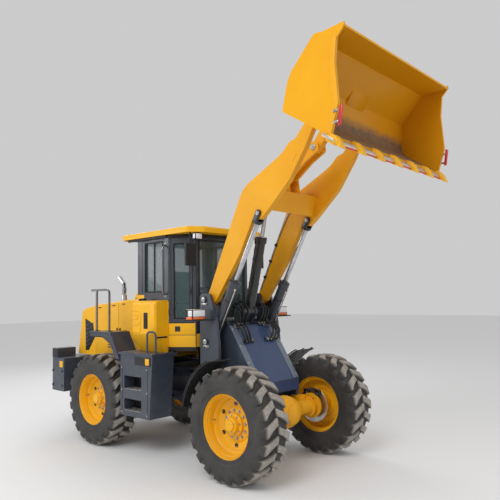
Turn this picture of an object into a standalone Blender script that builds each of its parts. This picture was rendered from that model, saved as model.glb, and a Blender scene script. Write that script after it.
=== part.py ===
"""A wheel loader with a raised boom, built from its separate pieces.

Metres, +Z up. The loader faces +X and its left side is +Y. Lengths along X are
written from the front axle, and a parent empty moves the whole machine so that the
middle of its length stands over the world origin.
"""

import math

import bmesh
import bpy
from mathutils import Matrix, Vector

# ---- driving dimensions -------------------------------------------------------------
GAP = 0.0004            # between pieces that touch
PIN_GAP = 0.0006        # beside an eye that turns on its pin

WHEELBASE = 2.57
PIVOT_X = -1.285        # articulation pin, halfway between the axles
TYRE_RADIUS = 0.60
TYRE_WIDTH = 0.395
RIM_RADIUS = 0.325
TRACK_HALF = 0.785      # centre of a tyre from the middle of the machine
AXLE_Z = TYRE_RADIUS
AXLE_TUBE_RADIUS = 0.085
DIFFERENTIAL_RADIUS = 0.19

# boom and its linkage, as they stand with the boom raised
BOOM_PIVOT = (-0.73, 1.914)
BUCKET_PIN = (0.92, 3.81)
LIFT_BASE = (-0.708, 1.4155)
LIFT_EYE = (0.105, 2.868)
ROCKER_PIN = (0.14, 3.38)
LINK_PIN = (0.575, 3.607)
BUCKET_LINK_PIN = (0.965, 4.06)
TILT_BASE = (-0.52, 1.76)
TILT_EYE = (-0.20, 3.08)

ARM_Y = 0.45            # middle of a boom arm
ARM_THICKNESS = 0.07
TOWER_CLEAR = 0.14      # between the two plates that carry one arm
TOWER_PLATE = 0.04
BOSS_RADIUS = 0.075
BUCKET_BOSS_HALF = 0.04
LIFT_BARREL_RADIUS = 0.058
LIFT_BARREL_LENGTH = 0.804
LIFT_ROD_LENGTH = 0.878
LIFT_ROD_RADIUS = 0.03
TILT_BARREL_RADIUS = 0.062
TILT_BARREL_LENGTH = 0.93
TILT_ROD_RADIUS = 0.032
ROCKER_INNER = 0.0405   # from the middle to the inner face of a rocker plate
ROCKER_PLATE = 0.034
LINK_HALF = 0.04

BUCKET_HALF = 1.075
BUCKET_SIDE = 0.02
BUCKET_SHELL = 0.016
TOOTH_COUNT = 7
TOOTH_WIDTH = 0.10
EDGE_HALF = 1.11
EDGE_THICKNESS = 0.028

FRAME_HALF = 0.34       # inner face of the front frame's main plates
CAB_HALF = 0.65
CAB_FRONT_HALF = 0.465
CAB_REAR_X = -1.95
CAB_DOOR_X = -1.30      # hinge side of the doors
CAB_FRONT_X = -0.99
CAB_FLOOR_Z = 1.33
CAB_SILL_Z = 1.63
CAB_TOP_Z = 2.74
CAB_WALL = 0.045
DOOR_PIN_ALONG = 0.012
DOOR_PIN_OUT = 0.011
ROOF_HALF = 0.69
ROOF_REAR_X = -2.28
ROOF_FRONT_X = -0.78
ROOF_THICKNESS = 0.075
GLASS = 0.006

HOOD_HALF = 0.52
HOOD_REAR_X = -3.72
HOOD_FRONT_X = CAB_REAR_X - 0.012
HOOD_BASE_Z = 1.12
HOOD_WALL = 0.012
WEIGHT_HALF = 0.90
WEIGHT_REAR_X = -3.92
WEIGHT_TOP_Z = 1.09
WEIGHT_BASE_Z = 0.61
LIP_FRONT_X = 1.68      # foremost edge of the bucket
STEP_OUTER_Y = 0.95
STEP_INNER_Y = 0.62
DECK_Z = 1.25
DECK_THICKNESS = 0.03
FENDER_TOP_Z = 1.51

MIDDLE_X = (WEIGHT_REAR_X + LIP_FRONT_X) / 2

YELLOW = ("loader_yellow", (0.95, 0.52, 0.012), 0.38, 0.0)
GREY = ("frame_grey", (0.045, 0.06, 0.085), 0.45, 0.1)
BLACK = ("black_fittings", (0.012, 0.012, 0.013), 0.55, 0.0)
RUBBER = ("tyre_rubber", (0.03, 0.03, 0.032), 0.85, 0.0)
CHROME = ("chrome_rod", (0.75, 0.76, 0.78), 0.12, 1.0)
GLAZING = ("tinted_glass", (0.10, 0.20, 0.19), 0.08, 0.0)
FABRIC = ("seat_cover", (0.03, 0.03, 0.035), 0.8, 0.0)
LAMP = ("lamp_lens", (0.85, 0.82, 0.78), 0.2, 0.0)
STEEL = ("worn_steel", (0.35, 0.33, 0.31), 0.5, 0.6)


# ---- scene and helpers --------------------------------------------------------------
def clear_scene():
    for old in list(bpy.data.objects):
        bpy.data.objects.remove(old, do_unlink=True)


def make_collections():
    for name in ("wheel_loader", "cutters"):
        collection = bpy.data.collections.new(name)
        bpy.context.scene.collection.children.link(collection)


def make_frame_empty():
    frame = bpy.data.objects.new("loader_frame", None)
    frame.location = (-MIDDLE_X, 0, 0)
    bpy.data.collections["wheel_loader"].objects.link(frame)
    return frame


def material(kind):
    name, colour, roughness, metallic = kind
    found = bpy.data.materials.get(name)
    if found:
        return found
    made = bpy.data.materials.new(name)
    made.use_nodes = True
    shader = made.node_tree.nodes["Principled BSDF"]
    shader.inputs["Base Color"].default_value = (*colour, 1)
    shader.inputs["Roughness"].default_value = roughness
    shader.inputs["Metallic"].default_value = metallic
    return made


def rounded(points, segments=4):
    """Corner points (u, v) or (u, v, radius): each radius becomes an arc."""
    out = []
    count = len(points)
    for i, point in enumerate(points):
        here = Vector(point[:2])
        radius = point[2] if len(point) > 2 else 0
        if radius == 0:
            out.append(tuple(here))
            continue
        before = (Vector(points[i - 1][:2]) - here).normalized()
        after = (Vector(points[(i + 1) % count][:2]) - here).normalized()
        half = before.angle(after) / 2
        reach = radius / math.tan(half)
        middle = here + (before + after).normalized() * (radius / math.sin(half))
        start = here + before * reach - middle
        turn = (here + after * reach - middle).angle_signed(start)
        for k in range(segments + 1):
            angle = turn * k / segments
            spun = Matrix.Rotation(angle, 2) @ start
            out.append(tuple(middle + spun))
    return out


def boss_hull(centres, segments=12):
    """The outline round circles (u, v, radius): their convex hull, counter-clockwise."""
    cloud = []
    for u, v, radius in centres:
        for k in range(segments * 2):
            angle = math.pi * k / segments
            cloud.append((u + radius * math.cos(angle), v + radius * math.sin(angle)))
    cloud.sort()
    chains = []
    for ordered in (cloud, cloud[::-1]):
        chain = []
        for point in ordered:
            while len(chain) > 1 and turn_of(chain[-2], chain[-1], point) <= 1e-9:
                chain.pop()
            chain.append(point)
        chains += chain[:-1]
    return chains


def turn_of(a, b, c):
    return (b[0] - a[0]) * (c[1] - a[1]) - (b[1] - a[1]) * (c[0] - a[0])


def keep(mesh, name, kind=None):
    """A mesh object on the frame, or a cutter where it has no material."""
    obj = bpy.data.objects.new(name, mesh)
    if kind is None:
        bpy.data.collections["cutters"].objects.link(obj)
        obj.hide_render = True
        obj.display_type = "WIRE"
    else:
        bpy.data.collections["wheel_loader"].objects.link(obj)
        obj.data.materials.clear()
        obj.data.materials.append(material(kind))
    obj.parent = FRAME
    return obj


def mesh_of_curve(curve, turn):
    """The closed mesh of a curve's data, with its caps welded, turned into place."""
    holder = bpy.data.objects.new("curve_holder", curve)
    bpy.context.scene.collection.objects.link(holder)
    graph = bpy.context.evaluated_depsgraph_get()
    mesh = bpy.data.meshes.new_from_object(holder.evaluated_get(graph))
    bpy.data.objects.remove(holder, do_unlink=True)
    shape = bmesh.new()
    shape.from_mesh(mesh)
    bmesh.ops.remove_doubles(shape, verts=shape.verts, dist=0.00001)
    bmesh.ops.transform(shape, matrix=turn, verts=shape.verts)
    face_outwards(shape)
    shape.to_mesh(mesh)
    shape.free()
    return mesh


def face_outwards(shape):
    bmesh.ops.recalc_face_normals(shape, faces=shape.faces)
    if shape.calc_volume(signed=True) < 0:
        bmesh.ops.reverse_faces(shape, faces=shape.faces)


def flat_curve(points, half):
    curve = bpy.data.curves.new("outline", "CURVE")
    curve.dimensions = "2D"
    curve.fill_mode = "BOTH"
    curve.extrude = half
    spline = curve.splines.new("POLY")
    spline.points.add(len(points) - 1)
    for spot, point in zip(spline.points, points):
        spot.co = (point[0], point[1], 0, 1)
    spline.use_cyclic_u = True
    return curve


def side_plate(name, outline, y_low, y_high, kind=None):
    """A flat outline in X and Z that fills from y_low to y_high."""
    y_low, y_high = sorted((y_low, y_high))
    turn = Matrix.Translation((0, (y_low + y_high) / 2, 0)) @ Matrix.Rotation(math.pi / 2, 4, "X")
    return keep(mesh_of_curve(flat_curve(outline, (y_high - y_low) / 2), turn), name, kind)


def floor_plate(name, outline, z_low, z_high, kind=None):
    """A flat outline in X and Y that fills from z_low to z_high."""
    turn = Matrix.Translation((0, 0, (z_low + z_high) / 2))
    return keep(mesh_of_curve(flat_curve(outline, (z_high - z_low) / 2), turn), name, kind)


def cross_plate(name, outline, x_low, x_high, kind=None):
    """A flat outline in Y and Z that fills from x_low to x_high."""
    turn = Matrix.Rotation(math.pi / 2, 4, "Z") @ Matrix.Rotation(math.pi / 2, 4, "X")
    turn = Matrix.Translation(((x_low + x_high) / 2, 0, 0)) @ turn
    return keep(mesh_of_curve(flat_curve(outline, (x_high - x_low) / 2), turn), name, kind)


def box(name, low, high, kind=None):
    """A box between two corners."""
    low, high = ([min(a, b) for a, b in zip(low, high)], [max(a, b) for a, b in zip(low, high)])
    shape = bmesh.new()
    size = [b - a for a, b in zip(low, high)]
    middle = [(a + b) / 2 for a, b in zip(low, high)]
    bmesh.ops.create_cube(shape, size=1, matrix=Matrix.Translation(middle) @ Matrix.Diagonal((*size, 1)))
    mesh = bpy.data.meshes.new(name)
    shape.to_mesh(mesh)
    shape.free()
    return keep(mesh, name, kind)


def rod(name, start, end, radius, kind=None, sides=16):
    """A round bar from start to end."""
    start, end = Vector(start), Vector(end)
    way = end - start
    shape = bmesh.new()
    turn = Vector((0, 0, 1)).rotation_difference(way).to_matrix().to_4x4()
    place = Matrix.Translation((start + end) / 2) @ turn
    bmesh.ops.create_cone(
        shape, cap_ends=True, segments=sides, radius1=radius, radius2=radius, depth=way.length, matrix=place
    )
    mesh = bpy.data.meshes.new(name)
    shape.to_mesh(mesh)
    shape.free()
    smooth(mesh)
    return keep(mesh, name, kind)


def smooth(mesh):
    mesh.shade_smooth()
    mesh.set_sharp_from_angle(angle=math.radians(35))


def tube(name, points, radius, kind=None, resolution=1):
    """A bent round rail through the points."""
    curve = bpy.data.curves.new(name, "CURVE")
    curve.dimensions = "3D"
    curve.bevel_depth = radius
    curve.bevel_resolution = resolution
    curve.use_fill_caps = True
    spline = curve.splines.new("POLY")
    spline.points.add(len(points) - 1)
    for spot, point in zip(spline.points, points):
        spot.co = (*point, 1)
    mesh = mesh_of_curve(curve, Matrix.Identity(4))
    smooth(mesh)
    return keep(mesh, name, kind)


def bent(points, radius, segments=3):
    """The points of a rail whose inner corners are rounded to the radius."""
    out = [Vector(points[0])]
    for before, here, after in zip(points, points[1:], points[2:]):
        before, here, after = Vector(before), Vector(here), Vector(after)
        back = (before - here).normalized()
        ahead = (after - here).normalized()
        reach = radius / math.tan(back.angle(ahead) / 2)
        start, end = here + back * reach, here + ahead * reach
        for k in range(segments + 1):
            t = k / segments
            out.append(start * (1 - t) ** 2 + here * 2 * t * (1 - t) + end * t * t)
    out.append(Vector(points[-1]))
    return [tuple(point) for point in out]


def turned(name, profile, centre, side, kind=None, steps=36):
    """A closed profile of (radius, offset) turned about the Y axis through centre.

    Offsets count outwards from the middle of the machine on the given side.
    """
    shape = bmesh.new()
    spots = [shape.verts.new((radius, 0, offset)) for radius, offset in profile]
    for a, b in zip(spots, spots[1:] + spots[:1]):
        if a.co.x > 1e-6 or b.co.x > 1e-6:
            shape.edges.new((a, b))
    mesh = bpy.data.meshes.new(name)
    shape.to_mesh(mesh)
    shape.free()
    obj = keep(mesh, name, kind)
    spin = obj.modifiers.new("spin", "SCREW")
    spin.axis = "Z"
    spin.steps = steps
    spin.render_steps = steps
    spin.use_merge_vertices = True
    spin.merge_threshold = 0.0001
    obj.rotation_euler = (-side * math.pi / 2, 0, 0)
    obj.location = centre
    bpy.context.view_layer.update()
    bake(obj)
    return obj


def bake(obj):
    """Turns an object's modifiers and its place into plain mesh on the frame."""
    graph = bpy.context.evaluated_depsgraph_get()
    graph.update()
    mesh = bpy.data.meshes.new_from_object(obj.evaluated_get(graph))
    mesh.transform(FRAME.matrix_world.inverted() @ obj.matrix_world)
    shape = bmesh.new()
    shape.from_mesh(mesh)
    bmesh.ops.remove_doubles(shape, verts=shape.verts, dist=0.00002)
    bmesh.ops.dissolve_degenerate(shape, edges=shape.edges, dist=0.00001)
    face_outwards(shape)
    shape.to_mesh(mesh)
    shape.free()
    smooth(mesh)
    obj.modifiers.clear()
    obj.data = mesh
    obj.matrix_basis = Matrix.Identity(4)


def round_edges(obj, width, chosen, segments=2):
    """Rounds the edges whose two ends satisfy the chosen test."""
    shape = bmesh.new()
    shape.from_mesh(obj.data)
    edges = [
        edge for edge in shape.edges
        if edge.calc_face_angle(0) > 0.3 and chosen(*(vert.co for vert in edge.verts))
    ]
    bmesh.ops.bevel(shape, geom=edges, offset=width, segments=segments, profile=0.5, affect="EDGES")
    bmesh.ops.remove_doubles(shape, verts=shape.verts, dist=0.00002)
    face_outwards(shape)
    shape.to_mesh(obj.data)
    shape.free()
    smooth(obj.data)


def combine(body, others, operation):
    for other in others:
        step = body.modifiers.new(operation.lower(), "BOOLEAN")
        step.operation = operation
        step.solver = "EXACT"
        step.object = other
    return body


def cut(body, *others):
    return combine(body, others, "DIFFERENCE")


def fuse(body, *others):
    return combine(body, others, "UNION")


def strip(path, thickness):
    """The closed outline of a bent plate: the path, and the path set off to its left."""
    path = [Vector(point) for point in path]
    offset = []
    for i, here in enumerate(path):
        sides = []
        if i > 0:
            sides.append((here - path[i - 1]).normalized())
        if i < len(path) - 1:
            sides.append((path[i + 1] - here).normalized())
        normals = [Vector((-way.y, way.x)) for way in sides]
        mean = sum(normals, Vector((0, 0))).normalized()
        offset.append(here + mean * (thickness / mean.dot(normals[0])))
    return [tuple(point) for point in path] + [tuple(point) for point in reversed(offset)]


def along(start, end, distance):
    """The point that lies a distance from start towards end, in X and Z."""
    start, end = Vector(start), Vector(end)
    return start + (end - start).normalized() * distance


def at_y(point, y):
    return (point[0], y, point[1])


def sides():
    return (("right", -1), ("left", 1))


def band(side, low, high):
    """The Y limits of something between two distances from the middle."""
    return sorted((side * low, side * high))


# ---- wheels and axles ---------------------------------------------------------------
def build_wheels():
    for row, x in (("front", 0), ("rear", -WHEELBASE)):
        for word, side in sides():
            centre = (x, 0, AXLE_Z)
            turned(f"tyre_{row}_{word}", tyre_profile(), centre, side, RUBBER)
            turned(f"rim_{row}_{word}", rim_profile(), centre, side, YELLOW)


def tyre_profile():
    inner, outer = TRACK_HALF - TYRE_WIDTH / 2, TRACK_HALF + TYRE_WIDTH / 2
    shoulder = TYRE_WIDTH * 0.15
    bead = RIM_RADIUS + GAP
    bead_inset = 0.045
    half = [
        (bead, outer - bead_inset),
        (bead + 0.04, outer - 0.012),
        ((bead + TYRE_RADIUS) / 2, outer),
        (TYRE_RADIUS - 0.06, outer - 0.02),
        (TYRE_RADIUS - 0.012, outer - shoulder),
        (TYRE_RADIUS, outer - shoulder * 1.9),
    ]
    mirrored = [(radius, inner + outer - offset) for radius, offset in reversed(half)]
    return half + mirrored


def rim_profile():
    outer = TRACK_HALF + TYRE_WIDTH / 2 - 0.005
    inner = TRACK_HALF - TYRE_WIDTH / 2 + 0.005
    wall = 0.014
    well = RIM_RADIUS - 0.035
    disc = outer - 0.20
    hub = 0.115
    return [
        (0, disc + 0.065),
        (hub, disc + 0.065),
        (hub + 0.01, disc),
        (well - wall, disc),
        (well - wall, outer - 0.05),
        (RIM_RADIUS - 0.016, outer),
        (RIM_RADIUS + 0.024, outer),
        (RIM_RADIUS + 0.024, outer - 0.012),
        (RIM_RADIUS, outer - 0.02),
        (RIM_RADIUS, outer - 0.06),
        (well, outer - 0.10),
        (well, inner + 0.08),
        (RIM_RADIUS, inner + 0.04),
        (RIM_RADIUS + 0.024, inner),
        (RIM_RADIUS - 0.016, inner),
        (well - wall, inner + 0.09),
        (well - wall, disc - 0.016),
        (0, disc - 0.016),
    ]


def rim_disc_inner():
    return TRACK_HALF + TYRE_WIDTH / 2 - 0.005 - 0.20 - 0.016


def axle_profile():
    """An axle from one wheel disc to the other."""
    end = rim_disc_inner() - PIN_GAP
    half = [
        (DIFFERENTIAL_RADIUS * 0.99, 0.02),
        (DIFFERENTIAL_RADIUS * 0.95, 0.06),
        (DIFFERENTIAL_RADIUS * 0.85, 0.11),
        (AXLE_TUBE_RADIUS + 0.03, 0.19),
        (AXLE_TUBE_RADIUS, 0.26),
        (AXLE_TUBE_RADIUS, 0.50),
        (0.15, 0.505),
        (0.15, 0.53),
        (0.12, 0.535),
        (0.12, end),
        (0, end),
    ]
    return [(radius, -offset) for radius, offset in reversed(half)] + half


def build_axles():
    for row, x in (("front", 0), ("rear", -WHEELBASE)):
        body = turned(f"{row}_axle", axle_profile(), (x, 0, AXLE_Z), 1, YELLOW, steps=24)
        gear = rod(f"{row}_pinion", (x, 0, AXLE_Z), (x - 0.26, 0, AXLE_Z), 0.0905)
        pads = []
        for word, side in sides():
            y = band(side, 0.345, 0.43)
            if row == "front":
                low, high = (x - 0.165, y[0], AXLE_Z), (x - 0.02, y[1], FRAME_FOOT_Z - GAP)
            else:
                low, high = (x - 0.09, y[0], AXLE_Z), (x + 0.09, y[1], RAIL_BASE_Z - GAP)
            pads.append(box(f"{row}_axle_pad_{word}", low, high))
        fuse(body, gear, *pads)


# ---- front frame --------------------------------------------------------------------
TOWER_INNER = (ARM_Y - TOWER_CLEAR / 2 - TOWER_PLATE, ARM_Y - TOWER_CLEAR / 2)
TOWER_OUTER = (ARM_Y + TOWER_CLEAR / 2, ARM_Y + TOWER_CLEAR / 2 + TOWER_PLATE)
TOWER_REAR_X = -0.815
TOWER_TOP_Z = BOOM_PIVOT[1] + 0.072
FRAME_FOOT_Z = 0.74
FRAME_BASE_Z = 0.50
COVER_TOP = (-0.55, 1.655)
COVER_KNEE = (-0.085, 0.944)
LUG_Z = ((0.64, 0.68), (0.955, 0.995))
LUG_RADIUS = 0.105


def build_front_frame():
    foot_x = COVER_KNEE[0]
    inner = rounded([
        (TOWER_REAR_X, FRAME_BASE_Z), (-0.27, FRAME_BASE_Z), (-0.19, FRAME_FOOT_Z), (foot_x, FRAME_FOOT_Z),
        COVER_KNEE, COVER_TOP, (-0.60, 1.72), (-0.655, TOWER_TOP_Z, 0.04),
        (TOWER_REAR_X, TOWER_TOP_Z, 0.05),
    ])
    outer = rounded([
        (TOWER_REAR_X, 1.14), (-0.50, 1.05), (-0.50, 1.40), (-0.54, 1.70),
        (-0.645, TOWER_TOP_Z, 0.04), (TOWER_REAR_X, TOWER_TOP_Z, 0.05),
    ])
    frame = box("front_frame", (TOWER_REAR_X, -0.36, FRAME_BASE_Z), (TOWER_REAR_X + 0.03, 0.36, 1.25), GREY)
    recess_x = TOWER_REAR_X + 0.055
    parts = [
        box("front_back", (recess_x, -0.359, 1.21), (recess_x + 0.03, 0.359, 1.60)),
        box("front_shelf", (TOWER_REAR_X + 0.01, -0.358, 1.215), (recess_x + 0.01, 0.358, 1.245)),
        box("front_top", (recess_x, -0.36, 1.585), (COVER_TOP[0] - 0.02, 0.36, 1.625)),
        box("front_floor", (TOWER_REAR_X, -0.36, FRAME_BASE_Z), (-0.30, 0.36, FRAME_BASE_Z + 0.03)),
        box("front_wall", (-0.305, -0.358, FRAME_BASE_Z + 0.01), (-0.28, 0.358, 0.90)),
    ]
    for word, side in sides():
        parts.append(side_plate(f"main_plate_{word}", inner, side * TOWER_INNER[0], side * TOWER_INNER[1]))
        parts.append(side_plate(f"tower_plate_{word}", outer, side * TOWER_OUTER[0], side * TOWER_OUTER[1]))
        parts.append(side_plate(
            f"tower_web_{word}",
            [
                (TOWER_REAR_X + 0.003, 1.15), (-0.56, 1.08), (-0.56, 1.12), (-0.70, 1.20),
                (TOWER_REAR_X + 0.003, 1.235)],
            side * (TOWER_INNER[1] - 0.01), side * (TOWER_OUTER[0] + 0.01)))
        parts += pivot_heads(word, side)
        parts.append(side_plate(
            f"tilt_ear_{word}",
            boss_hull(
                [(*TILT_BASE, 0.062), (TILT_BASE[0] - 0.16, 1.605, 0.015), (TILT_BASE[0] - 0.07, 1.605, 0.015)]),
            side * (0.05 + PIN_GAP), side * 0.085))
    for number, (low, high) in enumerate(LUG_Z):
        parts.append(floor_plate(f"hitch_lug_{number}", lug_outline(TOWER_REAR_X + 0.01), low, high))
    fuse(frame, *parts)


def pivot_heads(word, side):
    """Pin heads on the outer tower plate, for the boom and for the lift cylinder."""
    heads = []
    for label, centre in (("boom", BOOM_PIVOT), ("lift", LIFT_BASE)):
        y = TOWER_OUTER[1]
        start, end = at_y(centre, side * (y - 0.01)), at_y(centre, side * (y + 0.022))
        heads.append(rod(f"{label}_pin_head_{word}", start, end, 0.0365, sides=14))
    return heads


def lug_outline(root_x):
    hull = boss_hull([(PIVOT_X, 0, LUG_RADIUS), (root_x, 0.22, 0.01), (root_x, -0.22, 0.01)], 8)
    return [(min(u, root_x), v) for u, v in hull]


def build_front_cover():
    lip = (COVER_KNEE[0] + GAP * 1.5, AXLE_Z + DIFFERENTIAL_RADIUS + 0.02)
    knee = (COVER_KNEE[0] + GAP * 1.5, COVER_KNEE[1] + GAP)
    slope = (Vector(COVER_TOP) - Vector(COVER_KNEE)) * 0.91
    top = (COVER_KNEE[0] + slope.x + GAP, COVER_KNEE[1] + slope.y + GAP)
    side_plate("front_cover", strip([top, knee, lip], 0.014), -0.38, 0.38, GREY)


def build_front_fenders():
    reach = 0.70
    for word, side in sides():
        path = []
        for k in range(9):
            angle = math.radians(112 + 58 * k / 8)
            path.append((reach * math.cos(angle), AXLE_Z + reach * math.sin(angle)))
        guard = side_plate(f"front_fender_{word}", strip(path, 0.012), side * 0.60, side * 0.95, BLACK)
        arm_x = path[3][0]
        arm_z = path[3][1]
        stay = box(
            f"fender_stay_{word}",
            (arm_x - 0.03, side * (TOWER_OUTER[1] + GAP), arm_z - 0.045),
            (arm_x + 0.03, side * 0.63, arm_z - 0.002))
        foot = box(
            f"fender_foot_{word}",
            (arm_x - 0.05, side * (TOWER_OUTER[1] + GAP), arm_z - 0.045),
            (arm_x + 0.05, side * (TOWER_OUTER[1] + 0.012), 1.20))
        fuse(guard, stay, foot)


def build_front_lamps():
    for word, side in sides():
        shelf = box(
            f"front_lamp_{word}", (-0.76, side * (TOWER_OUTER[1] + GAP), 1.672),
            (-0.56, side * 0.86, 1.684), BLACK)
        shell = box(f"front_lamp_shell_{word}", (-0.735, side * 0.655, 1.68), (-0.615, side * 0.85, 1.80))
        fuse(shelf, shell)


# ---- boom and linkage ---------------------------------------------------------------
ARM_OUTLINE = (
    (-0.765, 1.872), (-0.655, 1.872), (-0.616, 1.886), (-0.203, 2.433), (-0.009, 2.783), (0.027, 2.841),
    (0.062, 2.812),
    (0.115, 2.799), (0.165, 2.83), (0.241, 2.893), (0.555, 3.181, 0.3), (0.777, 3.497, 0.4), (0.895, 3.70),
    (0.985, 3.775), (0.965, 3.86), (0.90, 3.875), (0.774, 3.742), (0.700, 3.664, 0.06),
    (0.648, 3.605, 0.05),
    (0.568, 3.589, 0.05), (0.473, 3.495, 0.2), (0.377, 3.440), (-0.066, 3.223, 0.08), (-0.150, 3.150, 0.1),
    (-0.216, 3.032, 0.2), (-0.745, 1.967),
)
CROSS_CORNERS = ((0.187, 2.903), (0.277, 3.128), (0.107, 3.198), (0.017, 2.973))


def build_boom():
    boom = side_plate("boom", CROSS_CORNERS, -(ARM_Y - 0.01), ARM_Y - 0.01, YELLOW)
    parts = []
    for word, side in sides():
        low, high = side * (ARM_Y - ARM_THICKNESS / 2), side * (ARM_Y + ARM_THICKNESS / 2)
        parts.append(side_plate(f"arm_{word}", rounded(ARM_OUTLINE, 3), low, high))
        half = TOWER_CLEAR / 2 - PIN_GAP
        parts.append(rod(
            f"arm_foot_{word}", at_y(BOOM_PIVOT, side * (ARM_Y - half)),
            at_y(BOOM_PIVOT, side * (ARM_Y + half)), 0.068, sides=20))
        half = BUCKET_BOSS_HALF
        parts.append(rod(
            f"arm_tip_{word}", at_y(BUCKET_PIN, side * (ARM_Y - half)),
            at_y(BUCKET_PIN, side * (ARM_Y + half)), BOSS_RADIUS, sides=20))
        parts.append(side_plate(
            f"rocker_bracket_{word}",
            boss_hull([(*ROCKER_PIN, 0.075), (0.10, 3.10, 0.03), (0.22, 3.07, 0.03)]),
            side * (ROCKER_INNER + ROCKER_PLATE + PIN_GAP), side * 0.105))
        parts.append(rod(
            f"rocker_pin_head_{word}", at_y(ROCKER_PIN, side * 0.10), at_y(ROCKER_PIN, side * 0.122),
            0.035, sides=12))
    fuse(boom, *parts)


def build_rocker():
    outline = rocker_outline()
    body = rod(
        "rocker", at_y(ROCKER_PIN, -ROCKER_INNER - 0.01), at_y(ROCKER_PIN, ROCKER_INNER + 0.01), 0.07,
        YELLOW, sides=20)
    parts = []
    for word, side in sides():
        parts.append(side_plate(
            f"rocker_plate_{word}", outline, side * ROCKER_INNER, side * (ROCKER_INNER + ROCKER_PLATE)))
    fuse(body, *parts)


def rocker_outline():
    return rounded([
        (LINK_PIN[0] + 0.075, LINK_PIN[1] - 0.045, 0.03), (LINK_PIN[0] + 0.065, LINK_PIN[1] + 0.035, 0.03),
        (LINK_PIN[0], LINK_PIN[1] + 0.068, 0.03), (0.36, 3.56, 0.2), (0.14, 3.475, 0.2), (-0.10, 3.29, 0.3),
        (TILT_EYE[0] - 0.055, TILT_EYE[1] + 0.04, 0.03), (TILT_EYE[0] - 0.055, TILT_EYE[1] - 0.05, 0.03),
        (TILT_EYE[0] + 0.03, TILT_EYE[1] - 0.062, 0.03), (0.05, 3.255, 0.2), (0.245, 3.30, 0.2),
        (0.46, 3.46, 0.2),
    ])


def build_link():
    outline = boss_hull([(*LINK_PIN, 0.058), (*BUCKET_LINK_PIN, 0.055)])
    side_plate("bucket_link", outline, -LINK_HALF, LINK_HALF, YELLOW)


def build_bucket():
    outer = [
        (1.51, 3.320), (1.60, 3.60), (1.575, 3.98), (1.60, 4.20), (LIP_FRONT_X, 4.285),
        (LIP_FRONT_X, 4.315),
        (1.45, 4.30), (1.355, 4.315, 0.04), (1.078, 4.035, 0.05), (1.030, 3.945, 0.08),
        (0.962, 3.680, 0.03),
    ]
    side_outline = rounded(outer[::-1], 3)
    bucket = side_plate(
        "bucket", strip(shell_path()[::-1], BUCKET_SHELL), -(BUCKET_HALF - 0.005), BUCKET_HALF - 0.005,
        YELLOW)
    parts = []
    for word, side in sides():
        parts.append(side_plate(
            f"bucket_side_{word}", side_outline, side * (BUCKET_HALF - BUCKET_SIDE),
            side * BUCKET_HALF))
        for label, low, high in (
            ("inner", ARM_Y - 0.085, ARM_Y - BUCKET_BOSS_HALF - PIN_GAP),
            ("outer", ARM_Y + BUCKET_BOSS_HALF + PIN_GAP, ARM_Y + 0.085)):
            hull = boss_hull([(*BUCKET_PIN, 0.075), (1.055, 3.70, 0.012), (1.06, 3.93, 0.015)])
            parts.append(side_plate(f"bucket_ear_{label}_{word}", hull, side * low, side * high))
        hull = boss_hull([(*BUCKET_LINK_PIN, 0.062), (1.055, 3.93, 0.02), (1.17, 4.10, 0.02)])
        parts.append(side_plate(
            f"link_ear_{word}", hull, side * (LINK_HALF + PIN_GAP),
            side * (ROCKER_INNER + ROCKER_PLATE)))
    fuse(bucket, *parts)


def shell_path():
    """The outer face of the bucket's floor, back and top, from the cutting edge round to the lip."""
    floor = [(1.505, 3.323), (1.20, 3.525)]
    bend = rounded(
        [(1.4, 3.4), (1.045, 3.630, 0.17), (1.075, 3.99, 0.05), (1.36, 4.29, 0.05), (1.6, 4.29)], 6)
    top = [(LIP_FRONT_X - 0.002, 4.29)]
    return floor + bend[1:-1] + top


def build_bucket_teeth():
    way = Vector((0.834, -0.552))
    rise = Vector((0.552, 0.834))
    root = Vector((1.44, 3.366))
    low = root - rise * EDGE_THICKNESS
    top = root - rise * GAP
    plate = [tuple(low), tuple(low + way * 0.17), tuple(top + way * 0.13), tuple(top)]
    edge = side_plate("bucket_edge", plate, -EDGE_HALF, EDGE_HALF, STEEL)
    base = low - rise * 0.02
    marks = ((0.05, 0), (0.235, 0), (0.24, 0.008), (0.10, 0.078), (0.09, 0.078), (0.09, 0.03), (0.05, 0.03))
    outline = [tuple(base + way * u + rise * v) for u, v in marks]
    teeth = []
    for k in range(TOOTH_COUNT):
        y = (2 * k / (TOOTH_COUNT - 1) - 1) * (EDGE_HALF - 0.065)
        teeth.append(side_plate(f"tooth_{k}", outline, y - TOOTH_WIDTH / 2, y + TOOTH_WIDTH / 2))
    fuse(edge, *teeth)


def cylinder_barrel(name, base, eye, y, radius, length, eye_half, kind):
    """Barrel with its base eye and its gland, along the line from base to the rod's eye."""
    start = along(base, eye, 0.075)
    neck = rod(
        f"{name}_neck", at_y(base, y), at_y(along(base, eye, 0.10), y), min(radius, eye_half) - 0.006)
    end = along(base, eye, length)
    body = rod(name, at_y(start, y), at_y(end, y), radius, kind, sides=20)
    gland = rod(
        f"{name}_gland", at_y(along(base, eye, length - 0.07), y), at_y(end, y), radius + 0.012,
        sides=20)
    eye_body = rod(
        f"{name}_eye", at_y(base, y - eye_half), at_y(base, y + eye_half), min(radius, 0.055), sides=20)
    return body, neck, gland, eye_body


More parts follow.
